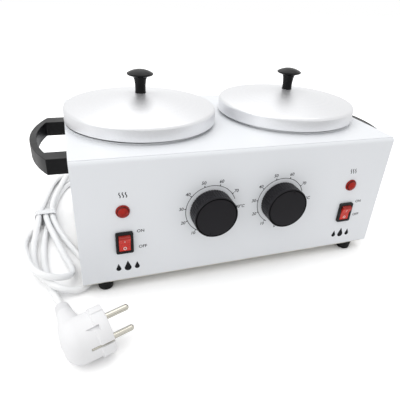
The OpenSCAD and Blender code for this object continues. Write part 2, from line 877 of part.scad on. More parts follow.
// The rocker has two front faces that meet in a shallow valley, round ends and two side pins
module rocker(side) {
    rise = rocker_r * tan(rocker_tip);
    pivot = [side * switch_x, pivot_y, switch_z];
    color([0.75, 0.08, 0.06]) centred() translate(pivot) rotate([rocker_tip, 0, 0]) {
        along_x(-rocker_w / 2, rocker_w) intersection() {
            circle(r = rocker_r, $fn = 96);
            polygon([[rocker_back, -rocker_r], [rocker_back, rocker_r], [-rocker_mid - rise, rocker_r],
                    [-rocker_mid, 0], [-rocker_mid - rise, -rocker_r]]);
        }
        rotate([0, 90, 0]) cylinder(r = pivot_r, h = rocker_w + 2 * pin_l, center = true, $fn = 24);
    }
}

lamp_neck_r = 4.4;
lamp_flange = 1.2;
lamp_neck_l = 8;

// The lens has a flange on the front panel, a low dome and a neck through the panel
module lamp_lens(side) {
    dome_h = 2.8;
    rim_w = 1;
    rim_taper = 0.4;
    dome_base = lamp_r - rim_w;
    dome_r = (dome_base * dome_base + dome_h * dome_h) / (2 * dome_h);
    color([0.8, 0.1, 0.08]) centred() out_of_front(side * switch_x, front_y, lamp_z) {
        cylinder(r1 = lamp_r, r2 = lamp_r - rim_taper, h = lamp_flange);
        translate([0, 0, -lamp_neck_l]) cylinder(r = lamp_neck_r, h = lamp_neck_l + overlap);
        intersection() {
            translate([0, 0, lamp_flange + dome_h - dome_r]) sphere(r = dome_r);
            translate([0, 0, lamp_flange - overlap]) cylinder(r = dome_base, h = dome_h + over);
        }
    }
}

// Each holder grips its lens behind the front panel and ends in two wire tabs
module lamp_holders() {
    holder_r = 6.5;
    holder_l = 22;
    grip_gap = 0.5;
    tab_w = 2.8;
    tab_l = 7;
    tab_t = 0.8;
    tab_x = 2.5;
    color([0.1, 0.1, 0.1]) centred() for (side = [-1, 1]) {
        out_of_front(side * switch_x, inner_front + holder_l, lamp_z) {
            difference() {
                cylinder(r = holder_r, h = holder_l);
                translate([0, 0, holder_l - lamp_neck_l + sheet_t - grip_gap])
                    cylinder(r = lamp_neck_r + fit, h = lamp_neck_l);
            }
            for (offset_x = [-tab_x, tab_x]) {
                translate([offset_x - tab_w / 2, -tab_t / 2, -tab_l]) cube([tab_w, tab_t, tab_l + overlap]);
            }
        }
    }
}

gland_neck_r = 6;
gland_flange_r = 8.5;
gland_flange_t = 3;
gland_tip_r = 4.2;
gland_in = 9;
gland_nut_w = 17;
gland_nut_h = 5;

block_w = 22;
block_d = 20;
block_h = 20;
inner_lead_l = 16.3;
block_back = inner_back - gland_in - inner_lead_l;
block_y = block_back - block_d;

// Three poles side by side, each with a screw well on top
module terminal_block() {
    poles = 3;
    pitch = block_w / poles;
    groove = 1;
    groove_z = 4;
    screw_well = 6;
    screw_well_r = 2.4;
    screw_row = 4.4;
    block_top = base_z + sheet_t + block_h;
    color([0.9, 0.9, 0.86]) centred() difference() {
        translate([-gland_x - block_w / 2, block_y, base_z + sheet_t]) cube([block_w, block_d, block_h]);
        for (n = [0 : poles - 1], row = [-screw_row, screw_row]) {
            translate([-gland_x + (n - (poles - 1) / 2) * pitch, block_y + block_d / 2 + row,
                    block_top - screw_well])
                cylinder(r = screw_well_r, h = screw_well + over, $fn = 24);
        }
        for (n = [1 : poles - 1]) {
            groove_x = -gland_x - block_w / 2 + n * pitch - groove / 2;
            translate([groove_x, block_y - over, block_top - groove_z])
                cube([groove, block_d + 2 * over, groove_z + over]);
        }
    }
}

// Inside the case the lead runs straight from the gland to the terminal block
module inner_lead() {
    color("white") centred() out_of_front(-gland_x, inner_back - gland_in, gland_z)
        cylinder(d = cord_d, h = inner_lead_l);
}

// The strain relief has a flange on the back panel, a neck through it and a ribbed taper
module cord_gland() {
    ribs = 6;
    rib_w = 2.2;
    rib_r = 6.6;
    rib_shrink = 0.45;
    rib_from = 1.5;
    cone_r = 6;
    cone_tip_r = gland_tip_r - 0.6;
    pitch = (boot_l - gland_flange_t - 1) / ribs;
    color("white") centred() out_of_front(-gland_x, back_y, gland_z) rotate([180, 0, 0]) {
        translate([0, 0, -sheet_t - gland_in]) cylinder(r = gland_neck_r, h = sheet_t + gland_in + overlap);
        cylinder(r = gland_flange_r, h = gland_flange_t);
        translate([0, 0, gland_flange_t - overlap])
            cylinder(r1 = cone_r, r2 = cone_tip_r, h = boot_l - gland_flange_t + overlap);
        for (n = [0 : ribs - 1]) {
            translate([0, 0, gland_flange_t + rib_from + n * pitch])
                cylinder(r = rib_r - n * rib_shrink, h = rib_w);
        }
    }
}

module gland_nut() {
    color("white") centred() out_of_front(-gland_x, inner_back, gland_z)
        hex_nut(gland_nut_w, gland_nut_h, gland_neck_r + running);
}

// The plug stands on its face edge beside the case: its own X points along the pins, Y along the lead
plug_at = [-135, -151, 20.4];
plug_turn = [-13, -6, 14];
plug_depth = 34;
plug_grip = [-23, 54, 0];
plug_front = 10;
plug_step = 1.2;
pin_r = 2.4;
pin_out = 19;
pin_in = 8;
pin_pitch = 19;
clip_t = 0.8;
clip_w = 5;
clip_slot = 2.4;
clip_long = 18;
clip_short = 12;

// A point of the plug in the frame of the case
function plug_point(p) = turned(turned(turned(p, 0, plug_turn[0]), 1, plug_turn[1]), 2, plug_turn[2])
    + plug_at;
function turned(p, axis, angle) =
    axis == 0 ? [p.x, p.y * cos(angle) - p.z * sin(angle), p.y * sin(angle) + p.z * cos(angle)]
    : axis == 1 ? [p.x * cos(angle) + p.z * sin(angle), p.y, p.z * cos(angle) - p.x * sin(angle)]
    : [p.x * cos(angle) - p.y * sin(angle), p.x * sin(angle) + p.y * cos(angle), p.z];

// The lead leaves the boot, passes the tie five times in two front and two rear loops, ends in the plug
boot_end = [-gland_x, back_y + boot_l, gland_z];
lead_loops = [
    [-112, 147, 19.5], [-120, 160, 14.5], [-136, 167, 10.8], [-151, 161, 9.8], [-159, 146, 9.8],
    [-164, 126, 9.8], [-169, 105, 9.8], [-174, 85, 9.8], [-176.5, 65, 9.8], [-176.5, 45, 10.5],
    [-174, 29, 9], [-167, 7, 5], [-158, -15, 3.2], [-148, -38, 3.2], [-141, -57, 3.2],
    [-141, -72, 3.2], [-148, -83, 3.2], [-160, -87, 5.5], [-171, -84, 10.2], [-179, -75, 10.4],
    [-186, -61, 7.5], [-192, -43, 3], [-195, -18, 3.2], [-194.5, 2, 4], [-191.5, 20, 9.5],
    [-190, 34, 11], [-190.3, 49, 10.6], [-187, 67, 9.8], [-183, 88, 9.8], [-178, 114, 9.8],
    [-172, 138, 9.2], [-162, 158, 5], [-148, 175, 3.2], [-132, 182.5, 3.2], [-116, 177.5, 3.2],
    [-110, 163, 3.2], [-116, 148.5, 3.2], [-132, 143.5, 3.2], [-148, 144.5, 3.2], [-161, 141, 3.2],
    [-168.5, 129, 3.2], [-174.5, 112, 3.2], [-179.5, 91, 3.2], [-182.5, 74, 3], [-183.2, 61, 5],
    [-183.3, 45, 11], [-181, 28, 10.5], [-175, 6, 7.5], [-168, -20, 5], [-162, -43, 4.8],
    [-157.5, -54, 5], [-158.5, -66, 7.5], [-166, -75.5, 13], [-176.5, -77, 17.5],
    [-187.5, -71, 19.5], [-194, -55, 17], [-199, -30, 9.5], [-205, -3, 3.4], [-201.5, 17, 3.2],
    [-193, 31.5, 3.4], [-189, 46, 4.4], [-190, 64, 3.3], [-188, 84, 3.2], [-182, 114, 3.2],
    [-176, 138, 3.2], [-168.5, 161, 3.2], [-152, 183, 3.2], [-132, 191, 3.2], [-110, 184, 3.2],
    [-102, 163, 3.2], [-110, 143.5, 3.2], [-131, 136.5, 3.2], [-147, 137, 3.2],
    [-157.5, 132.5, 3.2], [-163.5, 120, 3.2], [-170, 100, 3.2], [-174, 82, 3.2], [-176, 64, 3.2],
    [-179.5, 45, 4.4], [-183, 25, 3.2], [-185, 0, 3.2], [-185, -30, 3.2], [-181.5, -58, 3.2],
    [-176.5, -79, 3.2], [-173, -89.5, 3.2]
];
cord_route = concat(
    [boot_end, boot_end + [0, 7.5, 0], boot_end + [0, 15.5, 0]],
    lead_loops,
    [plug_point(plug_grip + [0, 8, 0]), plug_point(plug_grip)]
);

// A smooth line through the route: each step blends four neighbouring points
last_point = len(cord_route) - 1;
function route_point(n) =
    n < 0 ? 2 * cord_route[0] - cord_route[1]
    : n > last_point ? 2 * cord_route[last_point] - cord_route[last_point - 1]
    : cord_route[n];
function blend(n, t) = (
    pow(1 - t, 3) * route_point(n - 1)
    + (3 * pow(t, 3) - 6 * t * t + 4) * route_point(n)
    + (3 * t + 3 * t * t - 3 * pow(t, 3) + 1) * route_point(n + 1)
    + pow(t, 3) * route_point(n + 2)
) / 6;
function cord_line(steps) = [
    for (n = [0 : last_point - 1], k = [0 : steps - 1]) blend(n, k / steps),
    cord_route[last_point]
];

// Least distance between the surfaces of strands that are over four diameters of lead apart
function lengths_along(line) = [
    for (n = 0, sum = 0; n < len(line); sum = sum + (n + 1 < len(line) ? norm(line[n + 1] - line[n]) : 0),
        n = n + 1) sum
];
function least_gap(line, along) = min([
    for (a = [0 : len(line) - 1], b = [a + 1 : 1 : len(line) - 1])
        if (along[b] - along[a] > 4 * cord_d) norm(line[a] - line[b])
]) - cord_d;

// A tube of flat-sided rings along a line, closed at both ends
module tube(line, radius, sides) {
    last = len(line) - 1;
    points = [
        for (n = [0 : last])
            let (ahead = line[min(n + 1, last)] - line[max(n - 1, 0)])
            let (across = cross(ahead, [0, 0, 1]) / norm(cross(ahead, [0, 0, 1])))
            let (above = cross(across, ahead) / norm(ahead))
            for (k = [0 : sides - 1])
                line[n] + radius * (cos(k * 360 / sides) * across + sin(k * 360 / sides) * above)
    ];
    wall = [
        for (n = [0 : last - 1], k = [0 : sides - 1])
            let (a = n * sides + k, b = n * sides + (k + 1) % sides)
            for (half = [0, 1]) half == 0 ? [a, b, a + sides] : [b, b + sides, a + sides]
    ];
    front = [for (k = [1 : sides - 2]) [0, k + 1, k]];
    end = [for (k = [1 : sides - 2]) [last * sides, last * sides + k, last * sides + k + 1]];
    polyhedron(points, concat(wall, front, end));
}

module power_cord() {
    fine = cord_line(8);
    along = lengths_along(fine);
    echo(lead_length = along[len(along) - 1], least_gap = least_gap(fine, along));
    color("white") centred() tube(cord_line(2), cord_d / 2, 10);
}

// A flat band holds the five strands together
module cord_tie() {
    tie_x = -183.05;
    tie_y = 45;
    tie_w = 23.1;
    tie_h = 14.8;
    tie_l = 9;
    tie_t = 0.7;
    corner = 3.6;
    color("whitesmoke") centred() translate([tie_x, tie_y + tie_l / 2, tie_h / 2]) rotate([90, 0, 0])
        linear_extrude(tie_l) difference() {
            rounded_rect(tie_w, tie_h, corner);
            rounded_rect(tie_w - 2 * tie_t, tie_h - 2 * tie_t, corner - tie_t);
        }
}

// Places a piece that is drawn in the plug's own frame
module on_plug() {
    translate(plug_at) rotate(plug_turn) children();
}

// The slot towards the grip is shorter, because the grip stands on the hub there
clip_gap = 0.7;
function clip_slot_l(side) = side > 0 ? clip_short : clip_long;

// Places a cut or a strip on the rim of the plug, its +Y running inwards
module on_rim(side) {
    mirror([0, side > 0 ? 1 : 0, 0]) translate([0, -plug_r, 0]) children();
}

// An angled plug: a round front, a rounded back, a tapered ribbed grip and a dished thumb rest
module plug_body() {
    back_r = 7;
    grip_r = 6;
    grip_wide = 10.6;
    grip_from = 6;
    ribs = 5;
    rib_w = 1.3;
    rib_pitch = 2.6;
    rib_grow = 0.3;
    guide_w = 4.5;
    guide_l = 9;
    guide_deep = 2;
    color("white") centred() on_plug() difference() {
        union() {
            translate([-plug_depth, 0, 0]) rotate([0, 90, 0])
                rotate_extrude() cup_half(plug_r - plug_step, plug_depth - overlap, back_r);
            translate([-plug_front, 0, 0]) rotate([0, 90, 0]) cylinder(r = plug_r, h = plug_front);
            translate([plug_grip.x, grip_from, 0]) rotate([-90, 0, 0])
                cylinder(r1 = grip_wide, r2 = grip_r - 0.5, h = plug_grip.y - grip_from);
            for (n = [0 : ribs - 1]) {
                translate([plug_grip.x, plug_grip.y - rib_w - n * rib_pitch, 0]) rotate([-90, 0, 0])
                    cylinder(r = grip_r + n * rib_grow, h = rib_w);
            }
        }
        for (side = [-1, 1]) {
            on_rim(side) translate([-clip_slot_l(side), -over, -clip_w / 2 - clip_gap])
                cube([clip_slot_l(side) + over, clip_slot + over, clip_w + 2 * clip_gap]);
            rotate([90, 0, 0]) on_rim(side) translate([-guide_l, -over, -guide_w / 2])
                cube([guide_l + over, guide_deep + over, guide_w]);
            translate([-over, 0, side * pin_pitch / 2]) rotate([0, 90, 0])
                translate([0, 0, over - pin_in]) cylinder(r = pin_r + running, h = pin_in + over);
            thumb_rest(side);
        }
    }
}

// A sloping triangular hollow in the flank of the plug
module thumb_rest(side) {
    rest_l = 16;
    rest_w = 17;
    rest_from = 5;
    rest_deep = 1.6;
    slope = 9;
    cut = 6;
    rest_z = side * (plug_r - rest_deep + cut / 2);
    translate([-plug_depth + rest_from, 0, rest_z]) rotate([0, side * slope, 0])
        translate([0, 0, -cut / 2]) linear_extrude(cut)
            polygon([[0, 0], [rest_l, -rest_w / 2], [rest_l, rest_w / 2]]);
}

module plug_pins() {
    color("silver") centred() on_plug() for (side = [-1, 1]) {
        translate([-pin_in, 0, side * pin_pitch / 2]) rotate([0, 90, 0]) {
            cylinder(r = pin_r, h = pin_in + pin_out - pin_r);
            translate([0, 0, pin_in + pin_out - pin_r]) sphere(r = pin_r);
        }
    }
}

// Two spring strips lie on the floors of the slots in the plug rim
module plug_earth_clips() {
    color("silver") centred() on_plug() for (side = [-1, 1]) {
        on_rim(side) translate([-clip_slot_l(side) + fit, clip_slot - clip_t, -clip_w / 2])
            cube([clip_slot_l(side) - 4 * fit, clip_t, clip_w]);
    }
}

case_wrap();
end_panel(-1);  // end_panel_left
end_panel(1);  // end_panel_right
base_plate();
base_screws();
rubber_feet();
foot_screws();
foot_nuts();
handle(-1);  // handle_left
handle(1);  // handle_right
handle_screws();
heating_well(-1);  // heating_well_left
heating_well(1);  // heating_well_right
heater_disc(-1);  // heater_disc_left
heater_disc(1);  // heater_disc_right
press_plate(-1);  // press_plate_left
press_plate(1);  // press_plate_right
well_bracket(-1);  // well_bracket_left
well_bracket(1);  // well_bracket_right
well_nuts();
bracket_rivets();
wax_pot(-1);  // wax_pot_left
wax_pot(1);  // wax_pot_right
lid(-1);  // lid_left
lid(1);  // lid_right
lid_knob(-1);  // lid_knob_left
lid_knob(1);  // lid_knob_right
lid_screw(-1);  // lid_screw_left
lid_screw(1);  // lid_screw_right
thermostat(-1);  // thermostat_left
thermostat(1);  // thermostat_right
sensor_bulb(-1);  // sensor_bulb_left
sensor_bulb(1);  // sensor_bulb_right
thermostat_nuts();
thermostat_shaft(-1);  // thermostat_shaft_left
thermostat_shaft(1);  // thermostat_shaft_right
dial_knob(-1);  // dial_knob_left
dial_knob(1);  // dial_knob_right
switch_body(-1);  // switch_body_left
switch_body(1);  // switch_body_right
switch_tabs();
rocker(-1);  // rocker_left
rocker(1);  // rocker_right
lamp_lens(-1);  // lamp_lens_left
lamp_lens(1);  // lamp_lens_right
lamp_holders();
terminal_block();
inner_lead();
cord_gland();
gland_nut();
power_cord();
cord_tie();
plug_body();
plug_pins();
plug_earth_clips();
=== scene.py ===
"""Double wax warmer, finished for its picture. Places are in millimetres in the frame of the case,
whose middle lies CASE_Y behind the origin; at() turns them into metres of the shared frame."""
import math

import bmesh
import bpy
from mathutils import Euler, Matrix, Vector


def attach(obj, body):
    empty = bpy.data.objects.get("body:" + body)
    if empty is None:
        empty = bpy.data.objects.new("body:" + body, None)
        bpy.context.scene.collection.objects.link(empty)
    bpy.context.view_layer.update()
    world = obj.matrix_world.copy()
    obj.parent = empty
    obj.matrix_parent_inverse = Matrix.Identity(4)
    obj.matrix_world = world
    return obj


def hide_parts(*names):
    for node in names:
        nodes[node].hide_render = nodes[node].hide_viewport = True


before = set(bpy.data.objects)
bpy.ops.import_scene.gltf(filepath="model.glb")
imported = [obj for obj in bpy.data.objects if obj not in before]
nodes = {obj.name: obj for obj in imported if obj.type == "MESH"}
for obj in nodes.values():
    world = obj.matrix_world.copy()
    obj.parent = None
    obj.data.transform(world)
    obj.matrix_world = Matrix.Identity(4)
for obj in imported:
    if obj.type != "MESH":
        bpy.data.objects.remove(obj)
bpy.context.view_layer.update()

MM = 0.001
CASE_Y = 7.8
FRONT_Y = -88.5
BACK_Y = 88.5
SIDES = {"left": -1, "right": 1}


def at(x, y, z):
    """A point of the case frame, in metres of the shared frame."""
    return Vector((x, y + CASE_Y, z)) * MM


# Camera

def place_camera():
    data = bpy.data.cameras.new("photo_view")
    data.sensor_width = 36
    data.lens = 35.23
    data.shift_x = -0.01115
    data.shift_y = 0.00797
    camera = bpy.data.objects.new("photo_view", data)
    camera.location = at(-143.957, -369.722, 248.605)
    camera.rotation_euler = [math.radians(a) for a in (60.693, -3.026, -18.394)]
    bpy.context.scene.collection.objects.link(camera)
    bpy.context.scene.camera = camera


# Small helpers for meshes, which are built in millimetres of the case frame

# Turns a slab so that what lay along X, Y and Z lies along Y, Z and X
ALONG_X = Matrix(((0, 0, 1, 0), (1, 0, 0, 0), (0, 1, 0, 0), (0, 0, 0, 1)))
MERGE = 0.002
SHARP = 32
TURN_STEPS = 128
EDGE_STEPS = 3


def new_piece(name, bm, body, surface, smooth=True, edge=0.0, replaced=()):
    """Makes a mesh into a finished piece that rides on a body and stands for the solids it replaces."""
    bmesh.ops.remove_doubles(bm, verts=bm.verts, dist=MERGE)
    bmesh.ops.transform(bm, matrix=Matrix.Scale(MM, 4) @ Matrix.Translation((0, CASE_Y, 0)), verts=bm.verts)
    bmesh.ops.recalc_face_normals(bm, faces=bm.faces)
    mesh = bpy.data.meshes.new(name)
    bm.to_mesh(mesh)
    bm.free()
    if smooth:
        mesh.shade_smooth()
        mesh.set_sharp_from_angle(angle=math.radians(SHARP))
    mesh.materials.append(surface)
    piece = bpy.data.objects.new(name, mesh)
    bpy.context.scene.collection.objects.link(piece)
    if edge:
        rounding = piece.modifiers.new("rounding", "BEVEL")
        rounding.width = edge * MM
        rounding.segments = EDGE_STEPS
        rounding.limit_method = "ANGLE"
        rounding.angle_limit = math.radians(SHARP)
        rounding.harden_normals = smooth
    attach(piece, body)
    if replaced:
        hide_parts(*replaced)
    return piece


def arc_points(centre, radius, start, end, steps):
    """Points of a round corner, between two angles counted from the first axis."""
    angles = [math.radians(start + (end - start) * k / steps) for k in range(steps + 1)]
    return [(centre[0] + radius * math.cos(a), centre[1] + radius * math.sin(a)) for a in angles]


def add_turned(bm, section, closed=False, steps=TURN_STEPS):
    """Spins a half section, given as radius and height, round the Z axis."""
    verts = [bm.verts.new((r, 0, z)) for r, z in section]
    edges = [bm.edges.new(pair) for pair in zip(verts, verts[1:])]
    if closed:
        edges.append(bm.edges.new((verts[-1], verts[0])))
    bmesh.ops.spin(bm, geom=verts + edges, cent=(0, 0, 0), axis=(0, 0, 1), angle=2 * math.pi, steps=steps,
                   use_merge=True)
    bmesh.ops.remove_doubles(bm, verts=bm.verts, dist=MERGE)


def add_slab(bm, outline, depth):
    """A flat shape whose outline is a list of points in X and Y, raised along Z."""
    face = bm.faces.new([bm.verts.new((x, y, 0)) for x, y in outline])
    raised = bmesh.ops.extrude_face_region(bm, geom=[face])["geom"]
    moved = [v for v in raised if isinstance(v, bmesh.types.BMVert)]
    bmesh.ops.translate(bm, vec=(0, 0, depth), verts=moved)


def add_round_rect(bm, width, height, corner):
    """The edge of a rectangle with rounded corners, drawn in X and Y."""
    verts = bmesh.ops.create_grid(bm, x_segments=1, y_segments=1, size=0.5)["verts"]
    bmesh.ops.scale(bm, vec=(width, height, 1), verts=verts)
    bevelled = bmesh.ops.bevel(bm, geom=verts, offset=corner, segments=5, affect="VERTICES", profile=0.5,
                               material=-1)
    face = next(f for f in bm.faces if set(bevelled["verts"]) <= set(f.verts))
    edges = face.edges[:]
    bmesh.ops.delete(bm, geom=[face], context="FACES_ONLY")
    return edges


def add_frame(bm, outer, opening, corner, opening_corner, depth):
    """A flat frame round an opening, its front at Z = 0."""
    edges = add_round_rect(bm, *outer, corner) + add_round_rect(bm, *opening, opening_corner)
    ring = bmesh.ops.bridge_loops(bm, edges=edges)["faces"]
    raised = bmesh.ops.extrude_face_region(bm, geom=ring)["geom"]
    moved = [v for v in raised if isinstance(v, bmesh.types.BMVert)]
    bmesh.ops.translate(bm, vec=(0, 0, -depth), verts=moved)


def move(bm, *steps):
    """Applies placing matrices in the order in which they are given."""
    place = Matrix.Identity(4)
    for step in steps:
        place = step @ place
    bmesh.ops.transform(bm, matrix=place, verts=bm.verts)


def turned_by(degrees, axis):
    return Matrix.Rotation(math.radians(degrees), 4, axis)


# The mains lead

PLUG_AT = Vector((-135, -151, 20.4))
PLUG_TURN = Euler([math.radians(a) for a in (-13, -6, 14)]).to_matrix()
PLUG_GRIP = Vector((-23, 54, 0))
CORD_D = 6
GLAND = Vector((-112, BACK_Y, 22))
BOOT = 30
# First points of the lead behind the boot, and its last one before the plug
PAST_BOOT = (0, 7.5, 15.5)
PAST_GRIP = 8
LEAD_LOOPS = [
    (-112, 147, 19.5), (-120, 160, 14.5), (-136, 167, 10.8), (-151, 161, 9.8), (-159, 146, 9.8),
    (-164, 126, 9.8), (-169, 105, 9.8), (-174, 85, 9.8), (-176.5, 65, 9.8), (-176.5, 45, 10.5),
    (-174, 29, 9), (-167, 7, 5), (-158, -15, 3.2), (-148, -38, 3.2), (-141, -57, 3.2),
    (-141, -72, 3.2), (-148, -83, 3.2), (-160, -87, 5.5), (-171, -84, 10.2), (-179, -75, 10.4),
    (-186, -61, 7.5), (-192, -43, 3), (-195, -18, 3.2), (-194.5, 2, 4), (-191.5, 20, 9.5),
    (-190, 34, 11), (-190.3, 49, 10.6), (-187, 67, 9.8), (-183, 88, 9.8), (-178, 114, 9.8),
    (-172, 138, 9.2), (-162, 158, 5), (-148, 175, 3.2), (-132, 182.5, 3.2), (-116, 177.5, 3.2),
    (-110, 163, 3.2), (-116, 148.5, 3.2), (-132, 143.5, 3.2), (-148, 144.5, 3.2), (-161, 141, 3.2),
    (-168.5, 129, 3.2), (-174.5, 112, 3.2), (-179.5, 91, 3.2), (-182.5, 74, 3), (-183.2, 61, 5),
    (-183.3, 45, 11), (-181, 28, 10.5), (-175, 6, 7.5), (-168, -20, 5), (-162, -43, 4.8),
    (-157.5, -54, 5), (-158.5, -66, 7.5), (-166, -75.5, 13), (-176.5, -77, 17.5),
    (-187.5, -71, 19.5), (-194, -55, 17), (-199, -30, 9.5), (-205, -3, 3.4), (-201.5, 17, 3.2),
    (-193, 31.5, 3.4), (-189, 46, 4.4), (-190, 64, 3.3), (-188, 84, 3.2), (-182, 114, 3.2),
    (-176, 138, 3.2), (-168.5, 161, 3.2), (-152, 183, 3.2), (-132, 191, 3.2), (-110, 184, 3.2),
    (-102, 163, 3.2), (-110, 143.5, 3.2), (-131, 136.5, 3.2), (-147, 137, 3.2),
    (-157.5, 132.5, 3.2), (-163.5, 120, 3.2), (-170, 100, 3.2), (-174, 82, 3.2), (-176, 64, 3.2),
    (-179.5, 45, 4.4), (-183, 25, 3.2), (-185, 0, 3.2), (-185, -30, 3.2), (-181.5, -58, 3.2),
    (-176.5, -79, 3.2), (-173, -89.5, 3.2),
]


def on_plug(x, y, z):
    """A point of the plug's own frame, in the frame of the case."""
    return PLUG_AT + PLUG_TURN @ Vector((x, y, z))


def lead_route():
    """From the end of the gland's boot, through the loops, to the back of the plug's grip."""
    start = GLAND + Vector((0, BOOT, 0))
    ahead = Vector((0, 1, 0))
    return (
        [start + step * ahead for step in PAST_BOOT]
        + [Vector(p) for p in LEAD_LOOPS]
        + [on_plug(PLUG_GRIP.x, PLUG_GRIP.y + PAST_GRIP, 0), on_plug(*PLUG_GRIP)]
    )


def smooth_line(route, steps):
    """Each step blends four neighbouring points of the route, as the solid's own line does."""
    points = [2 * route[0] - route[1]] + route + [2 * route[-1] - route[-2]]
    line = []
    for n in range(1, len(points) - 2):
        p, q, r, s = points[n - 1:n + 3]
        for k in range(steps):
            t = k / steps
            line.append((
                (1 - t) ** 3 * p + (3 * t ** 3 - 6 * t * t + 4) * q
                + (1 + 3 * t + 3 * t * t - 3 * t ** 3) * r + t ** 3 * s
            ) / 6)
    return line + [route[-1]]


def make_lead(surface, plug_pieces):
    """The lead lies where its solid lies, as one round curve."""
    line = smooth_line(lead_route(), 8)
    data = bpy.data.curves.new("power_lead", "CURVE")
    data.dimensions = "3D"
    data.bevel_depth = CORD_D / 2 * MM
    data.bevel_resolution = 5
    data.use_fill_caps = True
    spline = data.splines.new("POLY")
    spline.points.add(len(line) - 1)
    for point, place in zip(spline.points, line):
        point.co = (*at(*place), 1)
    spline.use_smooth = True
    data.materials.append(surface)
    lead = bpy.data.objects.new("power_lead", data)
    bpy.context.scene.collection.objects.link(lead)
    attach(lead, "case")
    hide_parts("power_cord")


# Materials

# The values of a noise texture mostly lie between these two
NOISE_LOW = 0.3
NOISE_HIGH = 0.7
SWELL_SCALE = 0.12
WIDE_RING_SCALE = 0.08
GLOSS_SCALE = 3


def add(tree, kind, inputs=(), **properties):
    """Makes one node, with its properties set and its inputs set or linked."""
    node = tree.nodes.new("ShaderNode" + kind)
    for key, value in properties.items():
        setattr(node, key, value)
    for key, value in dict(inputs).items():
        if isinstance(value, bpy.types.NodeSocket):
            tree.links.new(value, node.inputs[key])
        else:
            node.inputs[key].default_value = value
    return node


def effect_group(name, inputs, outputs):
    """An empty node group whose named inputs carry the values that each material sets."""
    group = bpy.data.node_groups.new(name, "ShaderNodeTree")
    for label, kind, value in inputs:
        socket = group.interface.new_socket(label, in_out="INPUT", socket_type="NodeSocket" + kind)
        if value is not None:
            socket.default_value = value
    for label, kind in outputs:
        group.interface.new_socket(label, in_out="OUTPUT", socket_type="NodeSocket" + kind)
    source = group.nodes.new("NodeGroupInput").outputs
    target = group.nodes.new("NodeGroupOutput").inputs
    return group, source, target


def make_colour_drift():
    """Slow, faint changes of shade, as a sprayed or moulded surface has."""
    group, source, target = effect_group(
        "colour_drift",
        [("Vector", "Vector", None), ("Color", "Color", (1, 1, 1, 1)), ("Scale", "Float", 20),
         ("Amount", "Float", 0.05)],
        [("Color", "Color")],
    )
    cloud = add(group, "TexNoise", {"Vector": source["Vector"], "Scale": source["Scale"], "Detail": 3})
    centred = add(group, "Math", {0: cloud.outputs["Fac"], 1: 0.5}, operation="SUBTRACT")
    shift = add(group, "Math", {0: centred.outputs[0], 1: source["Amount"], 2: 1}, operation="MULTIPLY_ADD")
    shade = add(group, "VectorMath", {0: source["Color"], "Scale": shift.outputs[0]}, operation="SCALE")
    group.links.new(shade.outputs[0], target["Color"])
    return group


def make_uneven_gloss():
    """Roughness between two values in soft patches."""
    group, source, target = effect_group(
        "uneven_gloss",
        [("Vector", "Vector", None), ("Scale", "Float", 30), ("Low", "Float", 0.3), ("High", "Float", 0.4)],
        [("Roughness", "Float")],
    )
    cloud = add(group, "TexNoise", {"Vector": source["Vector"], "Scale": source["Scale"], "Detail": 4})
    spread = add(group, "MapRange", {
        "Value": cloud.outputs["Fac"], "From Min": NOISE_LOW, "From Max": NOISE_HIGH,
        "To Min": source["Low"], "To Max": source["High"],
    })
    group.links.new(spread.outputs[0], target["Roughness"])
    return group


def make_moulded_grain():
    """The height of a fine pebbled grain, with a slower swell below it."""
    group, source, target = effect_group(
        "moulded_grain",
        [("Vector", "Vector", None), ("Scale", "Float", 2000), ("Swell", "Float", 0.3)],
        [("Height", "Float")],
    )
    fine = add(group, "TexNoise", {"Vector": source["Vector"], "Scale": source["Scale"], "Detail": 2})
    slow_scale = add(group, "Math", {0: source["Scale"], 1: SWELL_SCALE}, operation="MULTIPLY")
    slow = add(group, "TexNoise", {"Vector": source["Vector"], "Scale": slow_scale.outputs[0]})
    height = add(group, "Math", {0: slow.outputs["Fac"], 1: source["Swell"], 2: fine.outputs["Fac"]},
                 operation="MULTIPLY_ADD")
    group.links.new(height.outputs[0], target["Height"])
    return group


def make_turned_rings():
    """The height of fine rings round the Z axis of a vector, as a lathe or a polishing pad leaves."""
    group, source, target = effect_group(
        "turned_rings",
        [("Vector", "Vector", None), ("Pitch", "Float", 0.0005)],
        [("Height", "Float"), ("Mask", "Float")],
    )
    flat = add(group, "VectorMath", {0: source["Vector"], 1: (1, 1, 0)}, operation="MULTIPLY")
    radius = add(group, "VectorMath", {0: flat.outputs[0]}, operation="LENGTH")
    steps = add(group, "Math", {0: radius.outputs["Value"], 1: source["Pitch"]}, operation="DIVIDE")
    fine = add(group, "TexNoise", {"W": steps.outputs[0], "Scale": 1, "Detail": 2},
               noise_dimensions="1D")
    wide_steps = add(group, "Math", {0: steps.outputs[0], 1: WIDE_RING_SCALE}, operation="MULTIPLY")
    wide = add(group, "TexNoise", {"W": wide_steps.outputs[0], "Scale": 1}, noise_dimensions="1D")
    group.links.new(fine.outputs["Fac"], target["Height"])
    group.links.new(wide.outputs["Fac"], target["Mask"])
    return group


